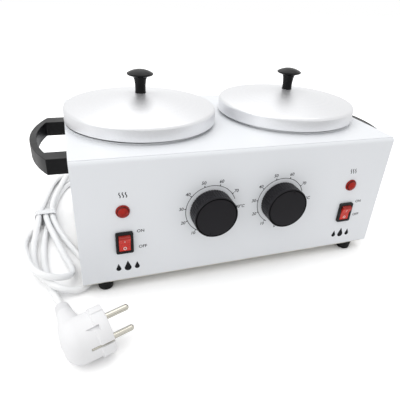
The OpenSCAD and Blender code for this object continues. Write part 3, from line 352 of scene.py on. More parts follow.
def make_painted_lighting_band():
    """Paints shade or light into a colour where a distance lies between two values, with soft edges; a
    factor below 1 paints shade, above 1 light.
    """
    group, source, target = effect_group(
        "painted_lighting_band",
        [("Color", "Color", (1, 1, 1, 1)), ("Distance", "Float", 0), ("From", "Float", 0),
         ("To", "Float", 1), ("Soft", "Float", 0.001), ("Shade", "Float", 0.5)],
        [("Color", "Color")],
    )
    enter = add(group, "Math", {0: source["Distance"], 1: source["From"]}, operation="SUBTRACT")
    leave = add(group, "Math", {0: source["To"], 1: source["Distance"]}, operation="SUBTRACT")
    nearer = add(group, "Math", {0: enter.outputs[0], 1: leave.outputs[0]}, operation="MINIMUM")
    inside = add(group, "MapRange", {
        "Value": nearer.outputs[0], "From Min": 0, "From Max": source["Soft"], "To Min": 1,
        "To Max": source["Shade"],
    })
    shade = add(group, "VectorMath", {0: source["Color"], "Scale": inside.outputs[0]}, operation="SCALE")
    group.links.new(shade.outputs[0], target["Color"])
    return group


COLOUR_DRIFT = make_colour_drift()
UNEVEN_GLOSS = make_uneven_gloss()
MOULDED_GRAIN = make_moulded_grain()
TURNED_RINGS = make_turned_rings()
PAINTED_LIGHTING_BAND = make_painted_lighting_band()


def use_group(tree, group, inputs):
    return add(tree, "Group", inputs, node_tree=group)


def new_material(name):
    """A material with its shader linked, and the place on the piece in metres."""
    surface = bpy.data.materials.new(name)
    surface.use_nodes = True
    tree = surface.node_tree
    tree.nodes.clear()
    output = add(tree, "OutputMaterial")
    shader = add(tree, "BsdfPrincipled")
    tree.links.new(shader.outputs[0], output.inputs["Surface"])
    coordinates = add(tree, "TexCoord").outputs["Object"]
    return surface, tree, shader, coordinates


def link_shader(tree, shader, colour, roughness, bump, plain):
    """Links what varies over a piece and sets what is even; plain names those inputs and their values."""
    tree.links.new(colour, shader.inputs["Base Color"])
    tree.links.new(roughness, shader.inputs["Roughness"])
    tree.links.new(bump, shader.inputs["Normal"])
    for key, value in plain.items():
        shader.inputs[key].default_value = value


def banded(tree, colour, distance, bands):
    """Paints shade or light in bands, each with a start, an end, a soft edge and a factor."""
    for start, end, soft, shade in bands:
        colour = use_group(tree, PAINTED_LIGHTING_BAND, {
            "Color": colour, "Distance": distance, "From": start * MM, "To": end * MM,
            "Soft": soft * MM, "Shade": shade,
        }).outputs[0]
    return colour


def surface_finish(name, colour, gloss, drift, grain, plain=None, painted_height_bands=()):
    """A finish with drifting colour, patchy gloss and a fine bump. Gloss is the span of its roughness,
    drift the scale and amount of its changes of shade, grain the scale and depth of its bump."""
    surface, tree, shader, place = new_material(name)
    shade = use_group(tree, COLOUR_DRIFT, {
        "Vector": place, "Color": (*colour, 1), "Scale": drift[0], "Amount": drift[1],
    }).outputs[0]
    # Bands by height paint shade into the colour.
    if painted_height_bands:
        height = add(tree, "SeparateXYZ", {0: place}).outputs["Z"]
        shade = banded(tree, shade, height, painted_height_bands)
    rough = use_group(tree, UNEVEN_GLOSS, {
        "Vector": place, "Scale": GLOSS_SCALE * drift[0], "Low": gloss[0], "High": gloss[1],
    })
    height = use_group(tree, MOULDED_GRAIN, {"Vector": place, "Scale": grain[0]})
    bump = add(tree, "Bump", {"Height": height.outputs[0], "Distance": grain[1] * MM, "Strength": 1})
    link_shader(tree, shader, shade, rough.outputs[0], bump.outputs[0], plain or {})
    return surface


def from_axis(tree, place, centre, axis):
    """The place as seen from the axis of the nearer piece of a pair, with that axis along Z."""
    across = add(tree, "SeparateXYZ", {0: place}).outputs["X"]
    side = add(tree, "Math", {0: across}, operation="SIGN")
    offset = add(tree, "Math", {0: side.outputs[0], 1: centre[0]}, operation="MULTIPLY")
    middle = add(tree, "CombineXYZ", {0: offset.outputs[0], 1: centre[1], 2: centre[2]})
    local = add(tree, "VectorMath", {0: place, 1: middle.outputs[0]}, operation="SUBTRACT")
    if axis == "Y":
        local = add(tree, "Mapping", {"Vector": local.outputs[0], "Rotation": (math.pi / 2, 0, 0)})
    return local.outputs[0]


def turned_finish(name, colour, gloss, centre, rings, axis="Z", drift=(14, 0.05), plain=None, bands=()):
    """A finish with fine rings round the axis of each piece of a pair. Rings gives their pitch and depth,
    and bands are round bands of painted shade or light, measured from that axis."""
    surface, tree, shader, place = new_material(name)
    around = from_axis(tree, place, centre, axis)
    ring = use_group(tree, TURNED_RINGS, {"Vector": around, "Pitch": rings[0] * MM})
    shade = use_group(tree, COLOUR_DRIFT, {
        "Vector": place, "Color": (*colour, 1), "Scale": drift[0], "Amount": drift[1],
    }).outputs[0]
    if bands:
        flat = add(tree, "VectorMath", {0: around, 1: (1, 1, 0)}, operation="MULTIPLY")
        radius = add(tree, "VectorMath", {0: flat.outputs[0]}, operation="LENGTH")
        shade = banded(tree, shade, radius.outputs["Value"], bands)
    rough = add(tree, "MapRange", {
        "Value": ring.outputs["Mask"], "From Min": NOISE_LOW, "From Max": NOISE_HIGH,
        "To Min": gloss[0], "To Max": gloss[1],
    })
    bump = add(tree, "Bump", {"Height": ring.outputs["Height"], "Distance": rings[1] * MM, "Strength": 1})
    plain = plain or {}
    link_shader(tree, shader, shade, rough.outputs[0], bump.outputs[0], plain)
    if "Anisotropic" in plain:
        normal = add(tree, "NewGeometry").outputs["Normal"]
        along = add(tree, "VectorMath", {0: (0, 0, 1), 1: around}, operation="CROSS_PRODUCT")
        across = add(tree, "VectorMath", {0: normal, 1: along.outputs[0]}, operation="CROSS_PRODUCT")
        tree.links.new(across.outputs[0], shader.inputs["Tangent"])
    return surface


# Middles of the wells, dials, switches and lamps
WELL_X = 78.4
WELL_Y = 4.5
DIAL_X = 34.5
DIAL_Z = 73.8
SWITCH_X = 112
SWITCH_Z = 51.5
LAMP_Z = 82
WELL_AXIS = (WELL_X * MM, (WELL_Y + CASE_Y) * MM, 0)
DIAL_AXIS = (DIAL_X * MM, 0, DIAL_Z * MM)
LAMP_AXIS = (SWITCH_X * MM, 0, LAMP_Z * MM)
METAL = {"Metallic": 1.0}
BLACK = {"Specular IOR Level": 0.28}

enamel = surface_finish("white_enamel", (0.83, 0.85, 0.88), (0.34, 0.42), (9, 0.02), (900, 0.02),
                        {"Coat Weight": 0.2, "Coat Roughness": 0.25})
base_sheet = surface_finish("galvanised_sheet", (0.80, 0.78, 0.70), (0.4, 0.55), (60, 0.10), (700, 0.008),
                            {"Metallic": 0.35})
zinc = surface_finish("zinc_plate", (0.70, 0.71, 0.73), (0.25, 0.38), (80, 0.1), (1500, 0.01), METAL)
# The band from 71.2 mm out lightens the lid's rim by 1.06: a painted highlight.
lid_metal = turned_finish("turned_aluminium", (0.78, 0.785, 0.80), (0.36, 0.46), WELL_AXIS, (0.25, 0.008),
                          drift=(700, 0.08), plain={"Metallic": 0.75, "Anisotropic": 0.25},
                          bands=[(71.2, 80, 0.4, 1.06)])
pot_metal = turned_finish("pot_aluminium", (0.74, 0.75, 0.76), (0.28, 0.42), WELL_AXIS, (0.4, 0.006),
                          plain={**METAL, "Anisotropic": 0.4})
well_metal = turned_finish("well_aluminium", (0.70, 0.71, 0.72), (0.38, 0.52), WELL_AXIS, (0.7, 0.01),
                           plain=METAL)
heater_metal = surface_finish("heater_steel", (0.45, 0.42, 0.38), (0.4, 0.6), (40, 0.25), (500, 0.02), METAL)
copper = surface_finish("dull_copper", (0.66, 0.36, 0.22), (0.3, 0.5), (60, 0.25), (1200, 0.006), METAL)
brass = surface_finish("contact_brass", (0.76, 0.60, 0.28), (0.25, 0.4), (60, 0.1), (1500, 0.004), METAL)
nickel = surface_finish("pin_nickel", (0.62, 0.60, 0.53), (0.12, 0.22), (90, 0.06), (2200, 0.002), METAL)
handle_black = surface_finish("handle_black", (0.003, 0.003, 0.0035), (0.34, 0.46), (20, 0.3), (1600, 0.012),
                              BLACK)
knob_black = surface_finish("knob_black", (0.002, 0.002, 0.0025), (0.26, 0.34), (30, 0.3), (1200, 0.004),
                            {"Specular IOR Level": 0.17})
dial_black = turned_finish("dial_black", (0.0105, 0.0098, 0.0125), (0.34, 0.44), DIAL_AXIS, (0.5, 0.005),
                           axis="Y", drift=(30, 0.3), plain={"Specular IOR Level": 0.2})
switch_black = surface_finish("switch_black", (0.006, 0.005, 0.0055), (0.25, 0.35), (40, 0.3), (1800, 0.006),
                              BLACK)
rubber = surface_finish("foot_rubber", (0.006, 0.006, 0.006), (0.65, 0.8), (60, 0.4), (1400, 0.03), BLACK)
# Painted shade: each rocker is darker above 56.7 mm, with a dark line along its valley between 50.7 and 51.3
# mm.
rocker_red = surface_finish("rocker_red", (0.64, 0.034, 0.022), (0.20, 0.30), (180, 0.35), (700, 0.01),
                            {"Specular IOR Level": 0.35, "Subsurface Weight": 0.2,
                             "Subsurface Radius": (0.004, 0.001, 0.001), "Subsurface Scale": 0.5},
                            painted_height_bands=[(56.7, 70, 0.8, 0.55), (50.7, 51.3, 0.25, 0.45)])
# Painted shade on the lamp lens: a dark ring from 4.1 to 5.3 mm from its middle and a darker edge from 5.75
# mm out.
lamp_red = turned_finish("lamp_red", (0.36, 0.016, 0.010), (0.14, 0.22), LAMP_AXIS, (0.8, 0.02), axis="Y",
                         drift=(420, 0.9), plain={"Specular IOR Level": 0.2},
                         bands=[(4.1, 5.3, 0.4, 0.25), (5.75, 7, 0.15, 0.6)])
ceramic = surface_finish("thermostat_ceramic", (0.82, 0.77, 0.66), (0.5, 0.65), (50, 0.1), (900, 0.02))
block_white = surface_finish("block_plastic", (0.80, 0.79, 0.72), (0.35, 0.5), (50, 0.05), (1500, 0.01))
sheath = surface_finish("lead_sheath", (0.92, 0.925, 0.93), (0.32, 0.42), (40, 0.03), (1300, 0.01),
                        {"Subsurface Weight": 0.15, "Subsurface Radius": (0.002, 0.002, 0.002)})
plug_white = surface_finish("plug_plastic", (0.84, 0.84, 0.85), (0.38, 0.48), (30, 0.03), (1400, 0.01),
                            {"Specular IOR Level": 0.35, "Subsurface Weight": 0.1,
                             "Subsurface Radius": (0.002, 0.002, 0.002)})
tie_milky = surface_finish("tie_plastic", (0.84, 0.85, 0.86), (0.2, 0.32), (60, 0.05), (900, 0.01),
                           {"Subsurface Weight": 0.3, "Subsurface Radius": (0.003, 0.003, 0.003)})
print_ink = surface_finish("print_ink", (0.012, 0.012, 0.014), (0.5, 0.65), (200, 0.4), (2500, 0.004),
                           {"Specular IOR Level": 0.1})
# Near-black and matt, for the painted shade at the edge of each dial face.
painted_edge_shade = surface_finish("painted_edge_shade", (0.001, 0.001, 0.001), (0.6, 0.7), (200, 0.4), (2500, 0.004),
                           {"Specular IOR Level": 0.02})
mark_white = surface_finish("mark_white", (0.82, 0.78, 0.75), (0.4, 0.5), (200, 0.1), (2500, 0.004))

NODE_FINISH = {
    "case_wrap": enamel, "end_panel": enamel, "base_plate": base_sheet, "base_screws": zinc,
    "rubber_feet": rubber, "foot_screws": zinc, "foot_nuts": zinc, "handle_screws": zinc,
    "handle": handle_black, "heating_well": well_metal, "heater_disc": heater_metal,
    "press_plate": zinc, "well_bracket": zinc, "well_nuts": zinc, "bracket_rivets": zinc,
    "wax_pot": pot_metal, "lid": lid_metal, "lid_knob": knob_black, "lid_screw": zinc,
    "thermostat": ceramic, "sensor_bulb": copper, "thermostat_nuts": zinc,
    "thermostat_shaft": zinc, "dial_knob": dial_black, "switch_body": switch_black,
    "switch_tabs": brass, "rocker": rocker_red, "lamp_lens": lamp_red, "lamp_holders": switch_black,
    "terminal_block": block_white, "inner_lead": sheath, "cord_gland": sheath,
    "gland_nut": sheath, "power_cord": sheath, "cord_tie": tie_milky, "plug_body": plug_white,
    "plug_pins": nickel, "plug_earth_clips": nickel,
}


def finish_nodes():
    """Gives each solid its finish; the two sides of a pair share one."""
    for name, solid in nodes.items():
        finish = NODE_FINISH.get(name) or NODE_FINISH[name.rsplit("_", 1)[0]]
        for slot in solid.material_slots:
            slot.material = finish


# Pots and lids

POT_R = 61.4
POT_T = 1.2
POT_CORNER = 8
POT_FLOOR = 61.3
POT_SHOULDER = 130.6
RIM_R = 70
RIM_Z = 143.4
BEAD_R = 1.4
LID_R = 71.8
LID_T = 1.2
LID_LOW = 132
LID_TOP = 144.7
LID_ROUND = 3
LID_RISE = 10.5
LID_FLAT_R = 7.2
LID_SLOPE = math.atan(LID_RISE / (LID_R - LID_ROUND - LID_FLAT_R))
KNOB_R = 12.3
KNOB_H = 21.5
DOME_RISE = 3.6
KNOB_STEPS = 64
SMALL_STEPS = 32
# Half sections of the knob and its screw, as radius and height above the sheet of the lid
KNOB_STEM = [(0, 0), (5.2, 0), (4.95, 2), (4.9, 4), (5.1, 8), (5.6, 12), (6.6, 14.8)]
KNOB_CAP = [(8.2, 15.2), (11.6, 16.4), (12.1, 16.8), (KNOB_R, 17.3)]
SCREW_HEAD = [(0, -0.8), (1.6, -0.9), (1.7, -2.1), (4, -2.2), (4.8, -1.7), (5, -0.4), (5, 0), (2, 0)]
SCREW_SHANK = [(2, 12.6), (1.4, 13.2), (0, 13.2)]


def over_well(bm, side_name):
    move(bm, Matrix.Translation((SIDES[side_name] * WELL_X, WELL_Y, 0)))


def make_pot(side_name):
    """A deep cup with a shoulder, a collar and a rolled rim."""
    bm = bmesh.new()
    collar_r = RIM_R - BEAD_R
    floor_r = POT_R - POT_CORNER
    corner = (floor_r, POT_FLOOR + POT_CORNER)
    outside = [(0, POT_FLOOR), (floor_r, POT_FLOOR)] + arc_points(corner, POT_CORNER, -90, 0, 8)
    outside += [(POT_R, POT_SHOULDER), (collar_r, POT_SHOULDER)]
    bead = arc_points((collar_r, RIM_Z - BEAD_R), BEAD_R, -80, 200, 14)
    inside = [(collar_r - POT_T, POT_SHOULDER + POT_T), (POT_R - POT_T, POT_SHOULDER + POT_T)]
    inside += arc_points(corner, POT_CORNER - POT_T, 0, -90, 8) + [(0, POT_FLOOR + POT_T)]
    add_turned(bm, outside + bead + inside)
    over_well(bm, side_name)
    new_piece(f"pot_shell_{side_name}", bm, f"pot_{side_name}", pot_metal,
              replaced=[f"wax_pot_{side_name}"])


def lid_crown():
    """Height of the flat top of the lid."""
    middle_r = LID_R - LID_ROUND
    edge_r = middle_r + LID_ROUND * math.sin(LID_SLOPE)
    edge_z = LID_TOP - LID_ROUND + LID_ROUND * math.cos(LID_SLOPE)
    return edge_z + (edge_r - LID_FLAT_R) * math.tan(LID_SLOPE)


def make_lid(side_name):
    """A shallow hollow cone with a rounded shoulder and an upright skirt."""
    bm = bmesh.new()
    crown = lid_crown()
    middle = (LID_R - LID_ROUND, LID_TOP - LID_ROUND)
    slope = 90 - math.degrees(LID_SLOPE)
    outside = [(0, crown), (LID_FLAT_R, crown)] + arc_points(middle, LID_ROUND, slope, 0, 8)
    inside = arc_points(middle, LID_ROUND - LID_T, 0, slope, 8)
    inside += [(LID_FLAT_R, crown - LID_T), (0, crown - LID_T)]
    add_turned(bm, outside + [(LID_R, LID_LOW), (LID_R - LID_T, LID_LOW)] + inside)
    over_well(bm, side_name)
    new_piece(f"lid_shell_{side_name}", bm, f"lid_{side_name}", lid_metal,
              replaced=[f"lid_{side_name}"])


def make_lid_knob(side_name):
    """A waisted stem under a mushroom cap."""
    bm = bmesh.new()
    dome_r = (KNOB_R ** 2 + DOME_RISE ** 2) / (2 * DOME_RISE)
    half_turn = math.degrees(math.asin(KNOB_R / dome_r))
    dome = arc_points((0, KNOB_H - dome_r), dome_r, 90 - half_turn, 90, 8)
    add_turned(bm, KNOB_STEM + KNOB_CAP + dome, steps=KNOB_STEPS)
    move(bm, Matrix.Translation((0, 0, lid_crown())))
    over_well(bm, side_name)
    new_piece(f"knob_moulding_{side_name}", bm, f"lid_{side_name}", knob_black,
              replaced=[f"lid_knob_{side_name}"])


def make_knob_screw(side_name):
    """The screw that holds the knob from inside the lid, its head down."""
    bm = bmesh.new()
    add_turned(bm, SCREW_HEAD + SCREW_SHANK, steps=SMALL_STEPS)
    move(bm, Matrix.Translation((0, 0, lid_crown() - LID_T)))
    over_well(bm, side_name)
    new_piece(f"knob_fixing_{side_name}", bm, f"lid_{side_name}", zinc,
              replaced=[f"lid_screw_{side_name}"])


# Handles

CASE_END = 150
MOULD_EDGE = 0.5
HANDLE_HALF = 56
HANDLE_REACH = 31.5
HANDLE_LEG = 17
HANDLE_LEG_W = 16
HANDLE_GRIP = 5.8
HANDLE_Z = 105
HANDLE_H = 14


def make_handle(side_name):
    """Two straight legs and a bowed grip, with rounded edges; drawn for the left end of the case."""
    bm = bmesh.new()
    rise = HANDLE_REACH - HANDLE_LEG
    outer_r = (HANDLE_HALF ** 2 + rise ** 2) / (2 * rise)
    middle = (outer_r - HANDLE_REACH, 0)
    inner_r = outer_r - HANDLE_GRIP
    inner_half = HANDLE_HALF - HANDLE_LEG_W
    wide = math.degrees(math.asin(HANDLE_HALF / outer_r))
    narrow = math.degrees(math.asin(inner_half / inner_r))
    outer = arc_points(middle, outer_r, 180 + wide, 180 - wide, 40)
    inner = arc_points(middle, inner_r, 180 - narrow, 180 + narrow, 30)
    add_slab(bm, [(0, -HANDLE_HALF)] + outer + [(0, HANDLE_HALF), (0, inner_half)] + inner
             + [(0, -inner_half)], HANDLE_H)
    side = SIDES[side_name]
    move(bm, Matrix.Translation((-CASE_END, 0, HANDLE_Z)), turned_by(0 if side < 0 else 180, "Z"))
    new_piece(f"handle_moulding_{side_name}", bm, "case", handle_black, edge=MOULD_EDGE,
              replaced=[f"handle_{side_name}"])


# Switches

PIVOT_Y = FRONT_Y + 0.5
BEZEL_Y = FRONT_Y - 2
ROCKER_TIP = 12
ROCKER_R = 8.4
ROCKER_W = 10
ROCKER_MID = 3
ROCKER_BACK = 3
ROCKER_END = 7.09
ROCKER_OPENING = (10.6, 16.6)
RIM_SIZE = (15, 21)
RIM_CORNERS = (1.4, 0.6)
RIM_T = 0.5
RIM_EDGE = 0.15
THROAT_SIZE = (11.1, 18.3)
THROAT_CORNERS = (0.2, 0.15)
THROAT_T = 1.4
RING_IN = 1.0
RING_OUT = 1.5
RING_AT = -4.4
BAR_W = 0.4
BAR_H = 2.8
BAR_AT = 3.6


def make_rocker(side_name):
    """Two front faces that meet in a shallow valley, between round ends."""
    bm = bmesh.new()
    back = math.degrees(math.acos(ROCKER_BACK / ROCKER_R))
    end = 180 - math.degrees(math.asin(ROCKER_END / ROCKER_R))
    high = arc_points((0, 0), ROCKER_R, back, end, 10)
    low = arc_points((0, 0), ROCKER_R, -end, -back, 10)
    add_slab(bm, high + [(-ROCKER_MID, 0)] + low, ROCKER_W)
    move(bm, Matrix.Translation((0, 0, -ROCKER_W / 2)), ALONG_X, turned_by(ROCKER_TIP, "X"),
         Matrix.Translation((SIDES[side_name] * SWITCH_X, PIVOT_Y, SWITCH_Z)))
    new_piece(f"rocker_cap_{side_name}", bm, f"switch_{side_name}", rocker_red,
              edge=MOULD_EDGE, replaced=[f"rocker_{side_name}"])


def make_switch_rim(side_name):
    """A raised rim on the bezel and a throat that narrows its opening round the rocker."""
    stand = Matrix.Translation((SIDES[side_name] * SWITCH_X, BEZEL_Y, SWITCH_Z))
    bm = bmesh.new()
    add_frame(bm, RIM_SIZE, ROCKER_OPENING, *RIM_CORNERS, RIM_T)
    move(bm, turned_by(90, "X"), Matrix.Translation((0, -RIM_T, 0)), stand)
    new_piece(f"switch_rim_{side_name}", bm, "case", switch_black,
              edge=RIM_EDGE)
    bm = bmesh.new()
    add_frame(bm, THROAT_SIZE, ROCKER_OPENING, *THROAT_CORNERS, THROAT_T)
    move(bm, turned_by(90, "X"), stand)
    new_piece(f"switch_throat_{side_name}", bm, "case", switch_black)


def mark_rocker(side_name):
    """A ring on the lower face of the rocker and a bar on the upper one."""
    ring, bar = bmesh.new(), bmesh.new()
    add_turned(ring, [(RING_IN, 0), (RING_OUT, 0), (RING_OUT, PRINT_T), (RING_IN, PRINT_T)], closed=True,
               steps=SMALL_STEPS)
    x, y = BAR_W / 2, BAR_H / 2
    add_slab(bar, [(-x, -y), (x, -y), (x, y), (-x, y)], PRINT_T)
    pivot = Matrix.Translation((SIDES[side_name] * SWITCH_X, PIVOT_Y, SWITCH_Z))
    for bm, name, up in ((ring, "ring", RING_AT), (bar, "bar", BAR_AT)):
        lean = turned_by(math.copysign(ROCKER_TIP, up), "X")
        move(bm, turned_by(90, "X"), Matrix.Translation((0, 0, up)), lean,
             Matrix.Translation((0, -ROCKER_MID, 0)), turned_by(ROCKER_TIP, "X"), pivot)
        new_piece(f"rocker_{name}_{side_name}", bm, f"switch_{side_name}", mark_white,
                  smooth=False)


# Print on the front panel: it stands a hair proud of the enamel

PRINT_T = 0.06
ARC_R = 23.5
ARC_FROM = -150
ARC_TO = 70
ARC_W = 0.5
ARC_STEPS = 72
TICK_FROM = 0.2
TICK_TO = 1.5
TICK_W = 0.8
NUMBER_R = 27.9
NUMBER_SIZE = 4.3
NUMBER_BOLD = 0.05
SLANT = 0.12
# Angles of the numbers, clockwise from the top
NUMBERS = {
    "0": -176, "10": -145, "20": -113, "30": -83, "40": -52, "50": -17, "60": 17, "70": 55,
    "80°C": 91,
}
DIAL_FRONT = FRONT_Y - 15.6
READINGS = {"left": -163, "right": 12}
# A dark slab on the floor of each dial's notch paints the shade in it.
NOTCH_SHADE_R = 17.6
NOTCH_SHADE_T = 0.5
NOTCH_SHADE_OUTLINE = [(-0.7, -1.9), (0.7, -1.9), (0.7, 1.1), (0, 1.9), (-0.7, 1.1)]
NOTCH_DEEP = 0.7
EDGE_RING_R = 18.38
EDGE_RING_W = 0.9
EDGE_RING_GAP = 8
EDGE_RING_STEPS = 96
WORD_SIZE = 4.2
WORD_BOLD = 0.04
# Places of the words beside each switch, from its middle
SWITCH_WORDS = {
    "left": [("ON", 14.2, 9.4), ("OFF", 15.8, -7)],
    "right": [("ON", 14.6, 10.6), ("OFF", 15.8, -5.2)],
}
HEAT_AT = (111.2, 97.2)
WAVE_H = 4.8
WAVE_W = 0.75
WAVE_SWING = 0.55
WAVE_PITCH = 2.6
WAVE_STEPS = 16
DROPS_X = {"left": -110, "right": 114.5}
DROPS_Z = 23.5
DROP_R = 3.1
DROP_PITCH = 8.2
DROP_TIP = 2.5
DROP_SHOULDER = 33
SMALL_DROP = 0.72


def on_panel(bm, x, z):
    """Stands a flat drawing, made in X and Y, on the front panel with its middle at x and z."""
    move(bm, turned_by(90, "X"), Matrix.Translation((x, FRONT_Y, z)))


def clock(radius, degrees):
    """A point at an angle counted clockwise from the top, as seen from the front."""
    angle = math.radians(degrees)
    return radius * math.sin(angle), radius * math.cos(angle)


def add_stroke(bm, line, width):
    """A raised stroke of even width along a line of points."""
    left, right = [], []
    for n, (x, y) in enumerate(line):
        ahead = Vector(line[min(n + 1, len(line) - 1)]) - Vector(line[max(n - 1, 0)])
        side = Vector((-ahead.y, ahead.x)).normalized() * width / 2
        left.append((x + side.x, y + side.y))
        right.append((x - side.x, y - side.y))
    add_slab(bm, left + right[::-1], PRINT_T)


def add_text(bm, words, x, y, size, shear=0.0, weight=0.0):
    """Plain letters or figures with their middle at x and y."""
    data = bpy.data.curves.new("letters", "FONT")
    data.body = words
    data.size = size
    data.shear = shear
    data.offset = weight
    data.align_x = "CENTER"
    data.align_y = "CENTER"
    data.extrude = PRINT_T / 2
    data.resolution_u = 3
    holder = bpy.data.objects.new("letters", data)
    bpy.context.scene.collection.objects.link(holder)
    bpy.context.view_layer.update()
    mesh = bpy.data.meshes.new_from_object(holder.evaluated_get(bpy.context.evaluated_depsgraph_get()))
    mesh.transform(Matrix.Translation((x, y, PRINT_T / 2)))
    bm.from_mesh(mesh)
    bpy.data.objects.remove(holder)
    bpy.data.curves.remove(data)
    bpy.data.meshes.remove(mesh)


def print_dial(side_name):
    """An arc with short ticks on its outside, and the numbers round it."""
    bm = bmesh.new()
    angles = [ARC_FROM + (ARC_TO - ARC_FROM) * n / ARC_STEPS for n in range(ARC_STEPS + 1)]
    add_stroke(bm, [clock(ARC_R, degrees) for degrees in angles], ARC_W)
    for words, degrees in NUMBERS.items():
        if ARC_FROM < degrees < ARC_TO:
            add_stroke(bm, [clock(ARC_R + TICK_FROM, degrees), clock(ARC_R + TICK_TO, degrees)], TICK_W)
        add_text(bm, words, *clock(NUMBER_R, degrees), NUMBER_SIZE, SLANT, NUMBER_BOLD)
    on_panel(bm, SIDES[side_name] * DIAL_X, DIAL_Z)
    new_piece(f"dial_print_{side_name}", bm, "case", print_ink, smooth=False)


def make_notch_shade(side_name):
    """A dark slab let into the floor of the dial's notch: painted shade in the notch."""
    bm = bmesh.new()
    add_slab(bm, NOTCH_SHADE_OUTLINE, NOTCH_SHADE_T)
    reading = READINGS[side_name]
    x, z = clock(NOTCH_SHADE_R, reading)
    move(bm, turned_by(-reading, "Z"), turned_by(90, "X"),
         Matrix.Translation((SIDES[side_name] * DIAL_X + x, DIAL_FRONT + NOTCH_DEEP, DIAL_Z + z)))
    new_piece(f"dial_notch_shade_{side_name}", bm, f"dial_{side_name}", print_ink, smooth=False)


def make_dial_edge(side_name):
    """A near-black ring of painted shade just inside the edge of the dial face, open at the notch."""
    bm = bmesh.new()
    start = READINGS[side_name] + EDGE_RING_GAP / 2
    step = (360 - EDGE_RING_GAP) / EDGE_RING_STEPS
    add_stroke(bm, [clock(EDGE_RING_R, start + step * n) for n in range(EDGE_RING_STEPS + 1)], EDGE_RING_W)
    move(bm, turned_by(90, "X"), Matrix.Translation((SIDES[side_name] * DIAL_X, DIAL_FRONT, DIAL_Z)))
    new_piece(f"dial_edge_{side_name}", bm, f"dial_{side_name}", painted_edge_shade)


def print_switch(side_name):
    """The words for the two ways of a switch."""
    bm = bmesh.new()
    for words, x, z in SWITCH_WORDS[side_name]:
        add_text(bm, words, x, z, WORD_SIZE, weight=WORD_BOLD)
    on_panel(bm, SIDES[side_name] * SWITCH_X, SWITCH_Z)
    new_piece(f"switch_print_{side_name}", bm, "case", print_ink, smooth=False)


def print_heat_mark(side_name):
    """Three rising waves over the lamp stand for heat."""
    bm = bmesh.new()
    parts = [k / WAVE_STEPS for k in range(WAVE_STEPS + 1)]
    wave = [(WAVE_SWING * math.sin(2 * math.pi * t), WAVE_H * (t - 0.5)) for t in parts]
    for middle in (-WAVE_PITCH, 0, WAVE_PITCH):
        add_stroke(bm, [(middle + x, y) for x, y in wave], WAVE_W)
    on_panel(bm, SIDES[side_name] * HEAT_AT[0], HEAT_AT[1])
    new_piece(f"heat_mark_{side_name}", bm, "case", print_ink, smooth=False)


def print_drop_mark(side_name):
    """A row of three drops under each switch stands for melted wax."""
    bm = bmesh.new()
    for x, r in ((-DROP_PITCH, DROP_R * SMALL_DROP), (0, DROP_R), (DROP_PITCH, DROP_R * SMALL_DROP)):
        bowl = arc_points((x, 0), r, DROP_SHOULDER, -180 - DROP_SHOULDER, 14)
        add_slab(bm, [(x, r * DROP_TIP)] + bowl, PRINT_T)
    on_panel(bm, DROPS_X[side_name], DROPS_Z)
    new_piece(f"drop_mark_{side_name}", bm, "case", print_ink, smooth=False)


# The plug, drawn in its own frame: X along the pins, Y along the lead

PLUG_R = 18.5
DRUM_R = 17.3
PLUG_DEPTH = 34
BACK_ROUND = 12
DRUM_STEPS = 96
GRIP_STEPS = 64
SLOT_W = 2.2
SLOT_DEEP = 2.4
SLOT_LONG = 17
SLOT_SHORT = 11
SLOT_PLAY = 0.1
SLOT_CUT = 6
CUT_PAST = 2
STRIP_T = 0.8
STRIP_EDGE = 0.2
STRIP_FRONT = -0.4
PIN_HOLE_R = 2.5
PIN_HOLE_DEEP = 8
PIN_PITCH = 19
GUIDE_AT = 17.3
GUIDE_HALF = (3.6, 2)
GUIDE_X = (-9.4, -0.3)
GUIDE_EDGE = 0.4
REST_DEEP = 1.2
REST_CUT = 6
REST_TURNS = (45, 225)
REST_OUTLINE = [(-16.5, 1.2), (-13.5, -0.4), (-7, -2.6), (-7, 1.6)]
# Half section of the front ring, as radius and place along the pins
RING_SECTION = [
    (DRUM_R, -10.6), (PLUG_R, -9.8), (PLUG_R, -0.9), (PLUG_R - 0.3, -0.3), (PLUG_R - 0.9, 0), (0, 0),
]
# Half section of the grip, as radius and place along the lead, then its ribs
GRIP_SECTION = [(0, 2), (11.4, 2), (11, 12), (9.4, 24), (7.6, 34), (6.8, 39.5)]
GRIP_END = [(4.9, 53.6), (4.5, 54), (0, 54)]
RIBS = 7
RIB_FROM = 40
RIB_PITCH = 1.9
RIB_R = 6.8
RIB_TAPER = 0.12
RIB_DEEP = 0.9
RIB_TOP = 1
RIB_FOOT = 1.2
GROOVE_END = 1.7


def loose_object(bm):
    """A helper object in millimetres, for joining and cutting."""
    bmesh.ops.recalc_face_normals(bm, faces=bm.faces)
    mesh = bpy.data.meshes.new("helper")
    bm.to_mesh(mesh)
    bm.free()
    helper = bpy.data.objects.new("helper", mesh)
    bpy.context.scene.collection.objects.link(helper)
    return helper


def combined(base, steps):
    """Joins helpers to a base or cuts them out of it, one after the other."""
    for operation, tool in steps:
        change = base.modifiers.new("change", "BOOLEAN")
        change.operation = operation
        change.object = tool
        change.solver = "EXACT"
    bpy.context.view_layer.update()
    mesh = bpy.data.meshes.new_from_object(base.evaluated_get(bpy.context.evaluated_depsgraph_get()))
    bm = bmesh.new()
    bm.from_mesh(mesh)
    for helper in [base] + [tool for operation, tool in steps]:
        bpy.data.objects.remove(helper)
    return bm


def add_block(bm, low, high, rounding=0.0):
    """A block between two corners, its edges rounded."""
    verts = bmesh.ops.create_cube(bm, size=1)["verts"]
    size = [b - a for a, b in zip(low, high)]
    middle = [(a + b) / 2 for a, b in zip(low, high)]
    bmesh.ops.scale(bm, vec=size, verts=verts)
    bmesh.ops.translate(bm, vec=middle, verts=verts)
    if rounding:
        edges = list({edge for vert in verts for edge in vert.link_edges})
        bmesh.ops.bevel(bm, geom=edges, offset=rounding, segments=EDGE_STEPS, affect="EDGES",
                        profile=0.5, material=-1)


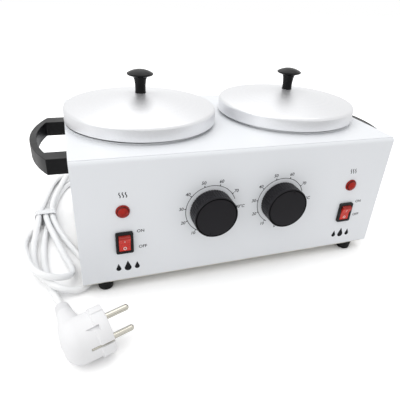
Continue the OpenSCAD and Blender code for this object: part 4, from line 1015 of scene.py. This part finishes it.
def plug_drum():
    """A drum with a rounded back and a wider ring at the front."""
    bm = bmesh.new()
    corner = (DRUM_R - BACK_ROUND, BACK_ROUND - PLUG_DEPTH)
    back = [(0, -PLUG_DEPTH)] + arc_points(corner, BACK_ROUND, -90, 0, 12)
    add_turned(bm, back + RING_SECTION, steps=DRUM_STEPS)
    move(bm, turned_by(90, "Y"))
    return loose_object(bm)


def plug_neck():
    """The grip that tapers to a finely ribbed collar round the lead."""
    bm = bmesh.new()
    line = list(GRIP_SECTION)
    for n in range(RIBS):
        y = RIB_FROM + RIB_PITCH * n
        high = RIB_R - RIB_TAPER * n
        low = high - RIB_DEEP
        line += [(high, y), (high, y + RIB_TOP), (low, y + RIB_FOOT), (low, y + GROOVE_END)]
    add_turned(bm, line + GRIP_END, steps=GRIP_STEPS)
    move(bm, turned_by(-90, "X"), Matrix.Translation((PLUG_GRIP.x, 0, 0)))
    return loose_object(bm)


def plug_guides():
    """Two guide blocks stand proud of the front ring above and below the pins."""
    bm = bmesh.new()
    for side in (-1, 1):
        y, z = GUIDE_HALF
        middle = side * GUIDE_AT
        add_block(bm, (GUIDE_X[0], -y, middle - z), (GUIDE_X[1], y, middle + z), GUIDE_EDGE)
    return loose_object(bm)


def plug_cuts():
    """Slots for the earth strips, open at the front and the rim, and holes for the pins."""
    bm = bmesh.new()
    for side, length in ((-1, SLOT_LONG), (1, SLOT_SHORT)):
        floor = side * (PLUG_R - SLOT_DEEP)
        low, high = sorted((floor, floor + side * SLOT_CUT))
        add_block(bm, (-length, low, -SLOT_W / 2), (CUT_PAST, high, SLOT_W / 2))
    for side in (-1, 1):
        pin = bmesh.ops.create_cone(bm, cap_ends=True, segments=SMALL_STEPS, radius1=PIN_HOLE_R,
                                    radius2=PIN_HOLE_R, depth=PIN_HOLE_DEEP + CUT_PAST)["verts"]
        bmesh.ops.rotate(bm, cent=(0, 0, 0), matrix=Matrix.Rotation(math.pi / 2, 3, "Y"), verts=pin)
        bmesh.ops.translate(bm, vec=((CUT_PAST - PIN_HOLE_DEEP) / 2, 0, side * PIN_PITCH / 2), verts=pin)
    return loose_object(bm)


def plug_thumb_rests():
    """Small slanting hollows, cut flat into the drum on two opposite sides."""
    bm = bmesh.new()
    for turn in REST_TURNS:
        part = bmesh.new()
        add_slab(part, REST_OUTLINE, REST_CUT)
        move(part, Matrix.Translation((0, 0, DRUM_R - REST_DEEP)), turned_by(turn, "X"))
        mesh = bpy.data.meshes.new("part")
        part.to_mesh(mesh)
        part.free()
        bm.from_mesh(mesh)
    return loose_object(bm)


def make_plug():
    """The moulding and the two earth strips in its slots; the pins keep their solid."""
    bm = combined(plug_drum(), [("UNION", plug_neck()), ("UNION", plug_guides()),
                                ("DIFFERENCE", plug_cuts()), ("DIFFERENCE", plug_thumb_rests())])
    stand = Matrix.Translation(PLUG_AT) @ PLUG_TURN.to_4x4()
    move(bm, stand)
    moulding = new_piece("plug_moulding", bm, "case", plug_white, replaced=["plug_body"])
    bm = bmesh.new()
    for side, length in ((-1, SLOT_LONG), (1, SLOT_SHORT)):
        floor = side * (PLUG_R - SLOT_DEEP)
        low, high = sorted((floor, floor + side * STRIP_T))
        half_w = SLOT_W / 2 - SLOT_PLAY
        add_block(bm, (SLOT_PLAY - length, low, -half_w), (STRIP_FRONT, high, half_w), STRIP_EDGE)
    move(bm, stand)
    contacts = new_piece("plug_contacts", bm, "case", nickel, replaced=["plug_earth_clips"])
    return moulding, contacts


# Studio

WORLD_LEVEL = 0.72
FLOOR_SIZE = 4
FLOOR_Z = -0.0003
FLOOR_GREY = 0.9
FLOOR_FILL = 0.5
SHADOW_REACH = 0.13
# The floor's mirror image: it darkens ahead of the object, between these places in Y, and is white far off
DARK_GREY = 0.08
DARK_STARTS = (-0.17, -0.42)
DARK_ENDS = (-0.65, -1.1)


def for_eyes(tree, plain, seen):
    """One value for the light that falls on things, and another for the camera, mirrors and glass."""
    path = add(tree, "LightPath").outputs
    eyes = add(tree, "Math", {0: path["Is Camera Ray"], 1: path["Is Glossy Ray"]}, operation="MAXIMUM")
    eyes = add(tree, "Math", {0: eyes.outputs[0], 1: path["Is Transmission Ray"]}, operation="MAXIMUM")
    return add(tree, "Mix", {"Factor": eyes.outputs[0], "A": plain, "B": seen}, data_type="FLOAT").outputs[0]


def make_world():
    world = bpy.data.worlds.new("studio")
    bpy.context.scene.world = world
    world.use_nodes = True
    tree = world.node_tree
    background = tree.nodes["Background"]
    background.inputs["Color"].default_value = (1, 1, 1, 1)
    tree.links.new(for_eyes(tree, WORLD_LEVEL, 1.0), background.inputs["Strength"])


def make_floor():
    """Pale and matt; away from the object's shadow a faint fill makes it white to the camera."""
    bm = bmesh.new()
    bmesh.ops.create_grid(bm, x_segments=1, y_segments=1, size=FLOOR_SIZE)
    mesh = bpy.data.meshes.new("floor")
    bm.to_mesh(mesh)
    bm.free()
    floor = bpy.data.objects.new("floor", mesh)
    floor.location.z = FLOOR_Z
    bpy.context.scene.collection.objects.link(floor)
    surface = bpy.data.materials.new("floor_white")
    surface.use_nodes = True
    tree = surface.node_tree
    tree.nodes.clear()
    output = add(tree, "OutputMaterial")
    place = add(tree, "TexCoord").outputs["Object"]
    path = add(tree, "LightPath").outputs
    ahead = add(tree, "SeparateXYZ", {0: place}).outputs["Y"]
    falling = add(tree, "MapRange", {
        "Value": ahead, "From Min": DARK_STARTS[1], "From Max": DARK_STARTS[0],
        "To Min": DARK_GREY, "To Max": FLOOR_GREY,
    })
    rising = add(tree, "MapRange", {
        "Value": ahead, "From Min": DARK_ENDS[1], "From Max": DARK_ENDS[0],
        "To Min": 1, "To Max": DARK_GREY,
    })
    mirrored = add(tree, "Math", {0: falling.outputs[0], 1: rising.outputs[0]}, operation="MAXIMUM")
    grey = add(tree, "Mix", {"Factor": path["Is Glossy Ray"], "A": FLOOR_GREY, "B": mirrored.outputs[0]},
               data_type="FLOAT")
    colour = add(tree, "CombineColor", {0: grey.outputs[0], 1: grey.outputs[0], 2: grey.outputs[0]})
    matt = add(tree, "BsdfDiffuse", {"Color": colour.outputs[0]})
    open_sky = add(tree, "AmbientOcclusion", {"Distance": SHADOW_REACH}, samples=12)
    fill = add(tree, "Math", {0: open_sky.outputs["AO"], 1: path["Is Camera Ray"]}, operation="MULTIPLY")
    fill = add(tree, "Math", {0: fill.outputs[0], 1: FLOOR_FILL}, operation="MULTIPLY")
    glow = add(tree, "Emission", {"Color": (1, 1, 1, 1), "Strength": fill.outputs[0]})
    both = add(tree, "AddShader", {0: matt.outputs[0], 1: glow.outputs[0]})
    tree.links.new(both.outputs[0], output.inputs["Surface"])
    mesh.materials.append(surface)


def add_softbox(name, place, target, size, watts):
    """A flat lamp that faces a target."""
    data = bpy.data.lights.new(name, "AREA")
    data.shape = "RECTANGLE"
    data.size, data.size_y = size
    data.energy = watts
    lamp = bpy.data.objects.new(name, data)
    lamp.location = place
    lamp.rotation_euler = (Vector(target) - Vector(place)).to_track_quat("-Z", "Y").to_euler()
    bpy.context.scene.collection.objects.link(lamp)


place_camera()
make_lead(sheath, make_plug())
finish_nodes()
for side in SIDES:
    make_pot(side)
    make_lid(side)
    make_lid_knob(side)
    make_knob_screw(side)
    make_handle(side)
    make_rocker(side)
    make_switch_rim(side)
    mark_rocker(side)
    make_notch_shade(side)
    make_dial_edge(side)
    print_dial(side)
    print_switch(side)
    print_heat_mark(side)
    print_drop_mark(side)
make_world()
make_floor()
add_softbox("top_softbox", (-0.2, 0.3, 1.6), (0, 0, 0.1), (2.4, 2.0), 14)
add_softbox("left_softbox", (-1.3, -0.5, 0.9), (0, 0, 0.1), (1.1, 1.1), 4.5)
bpy.context.scene.view_settings.view_transform = "Standard"
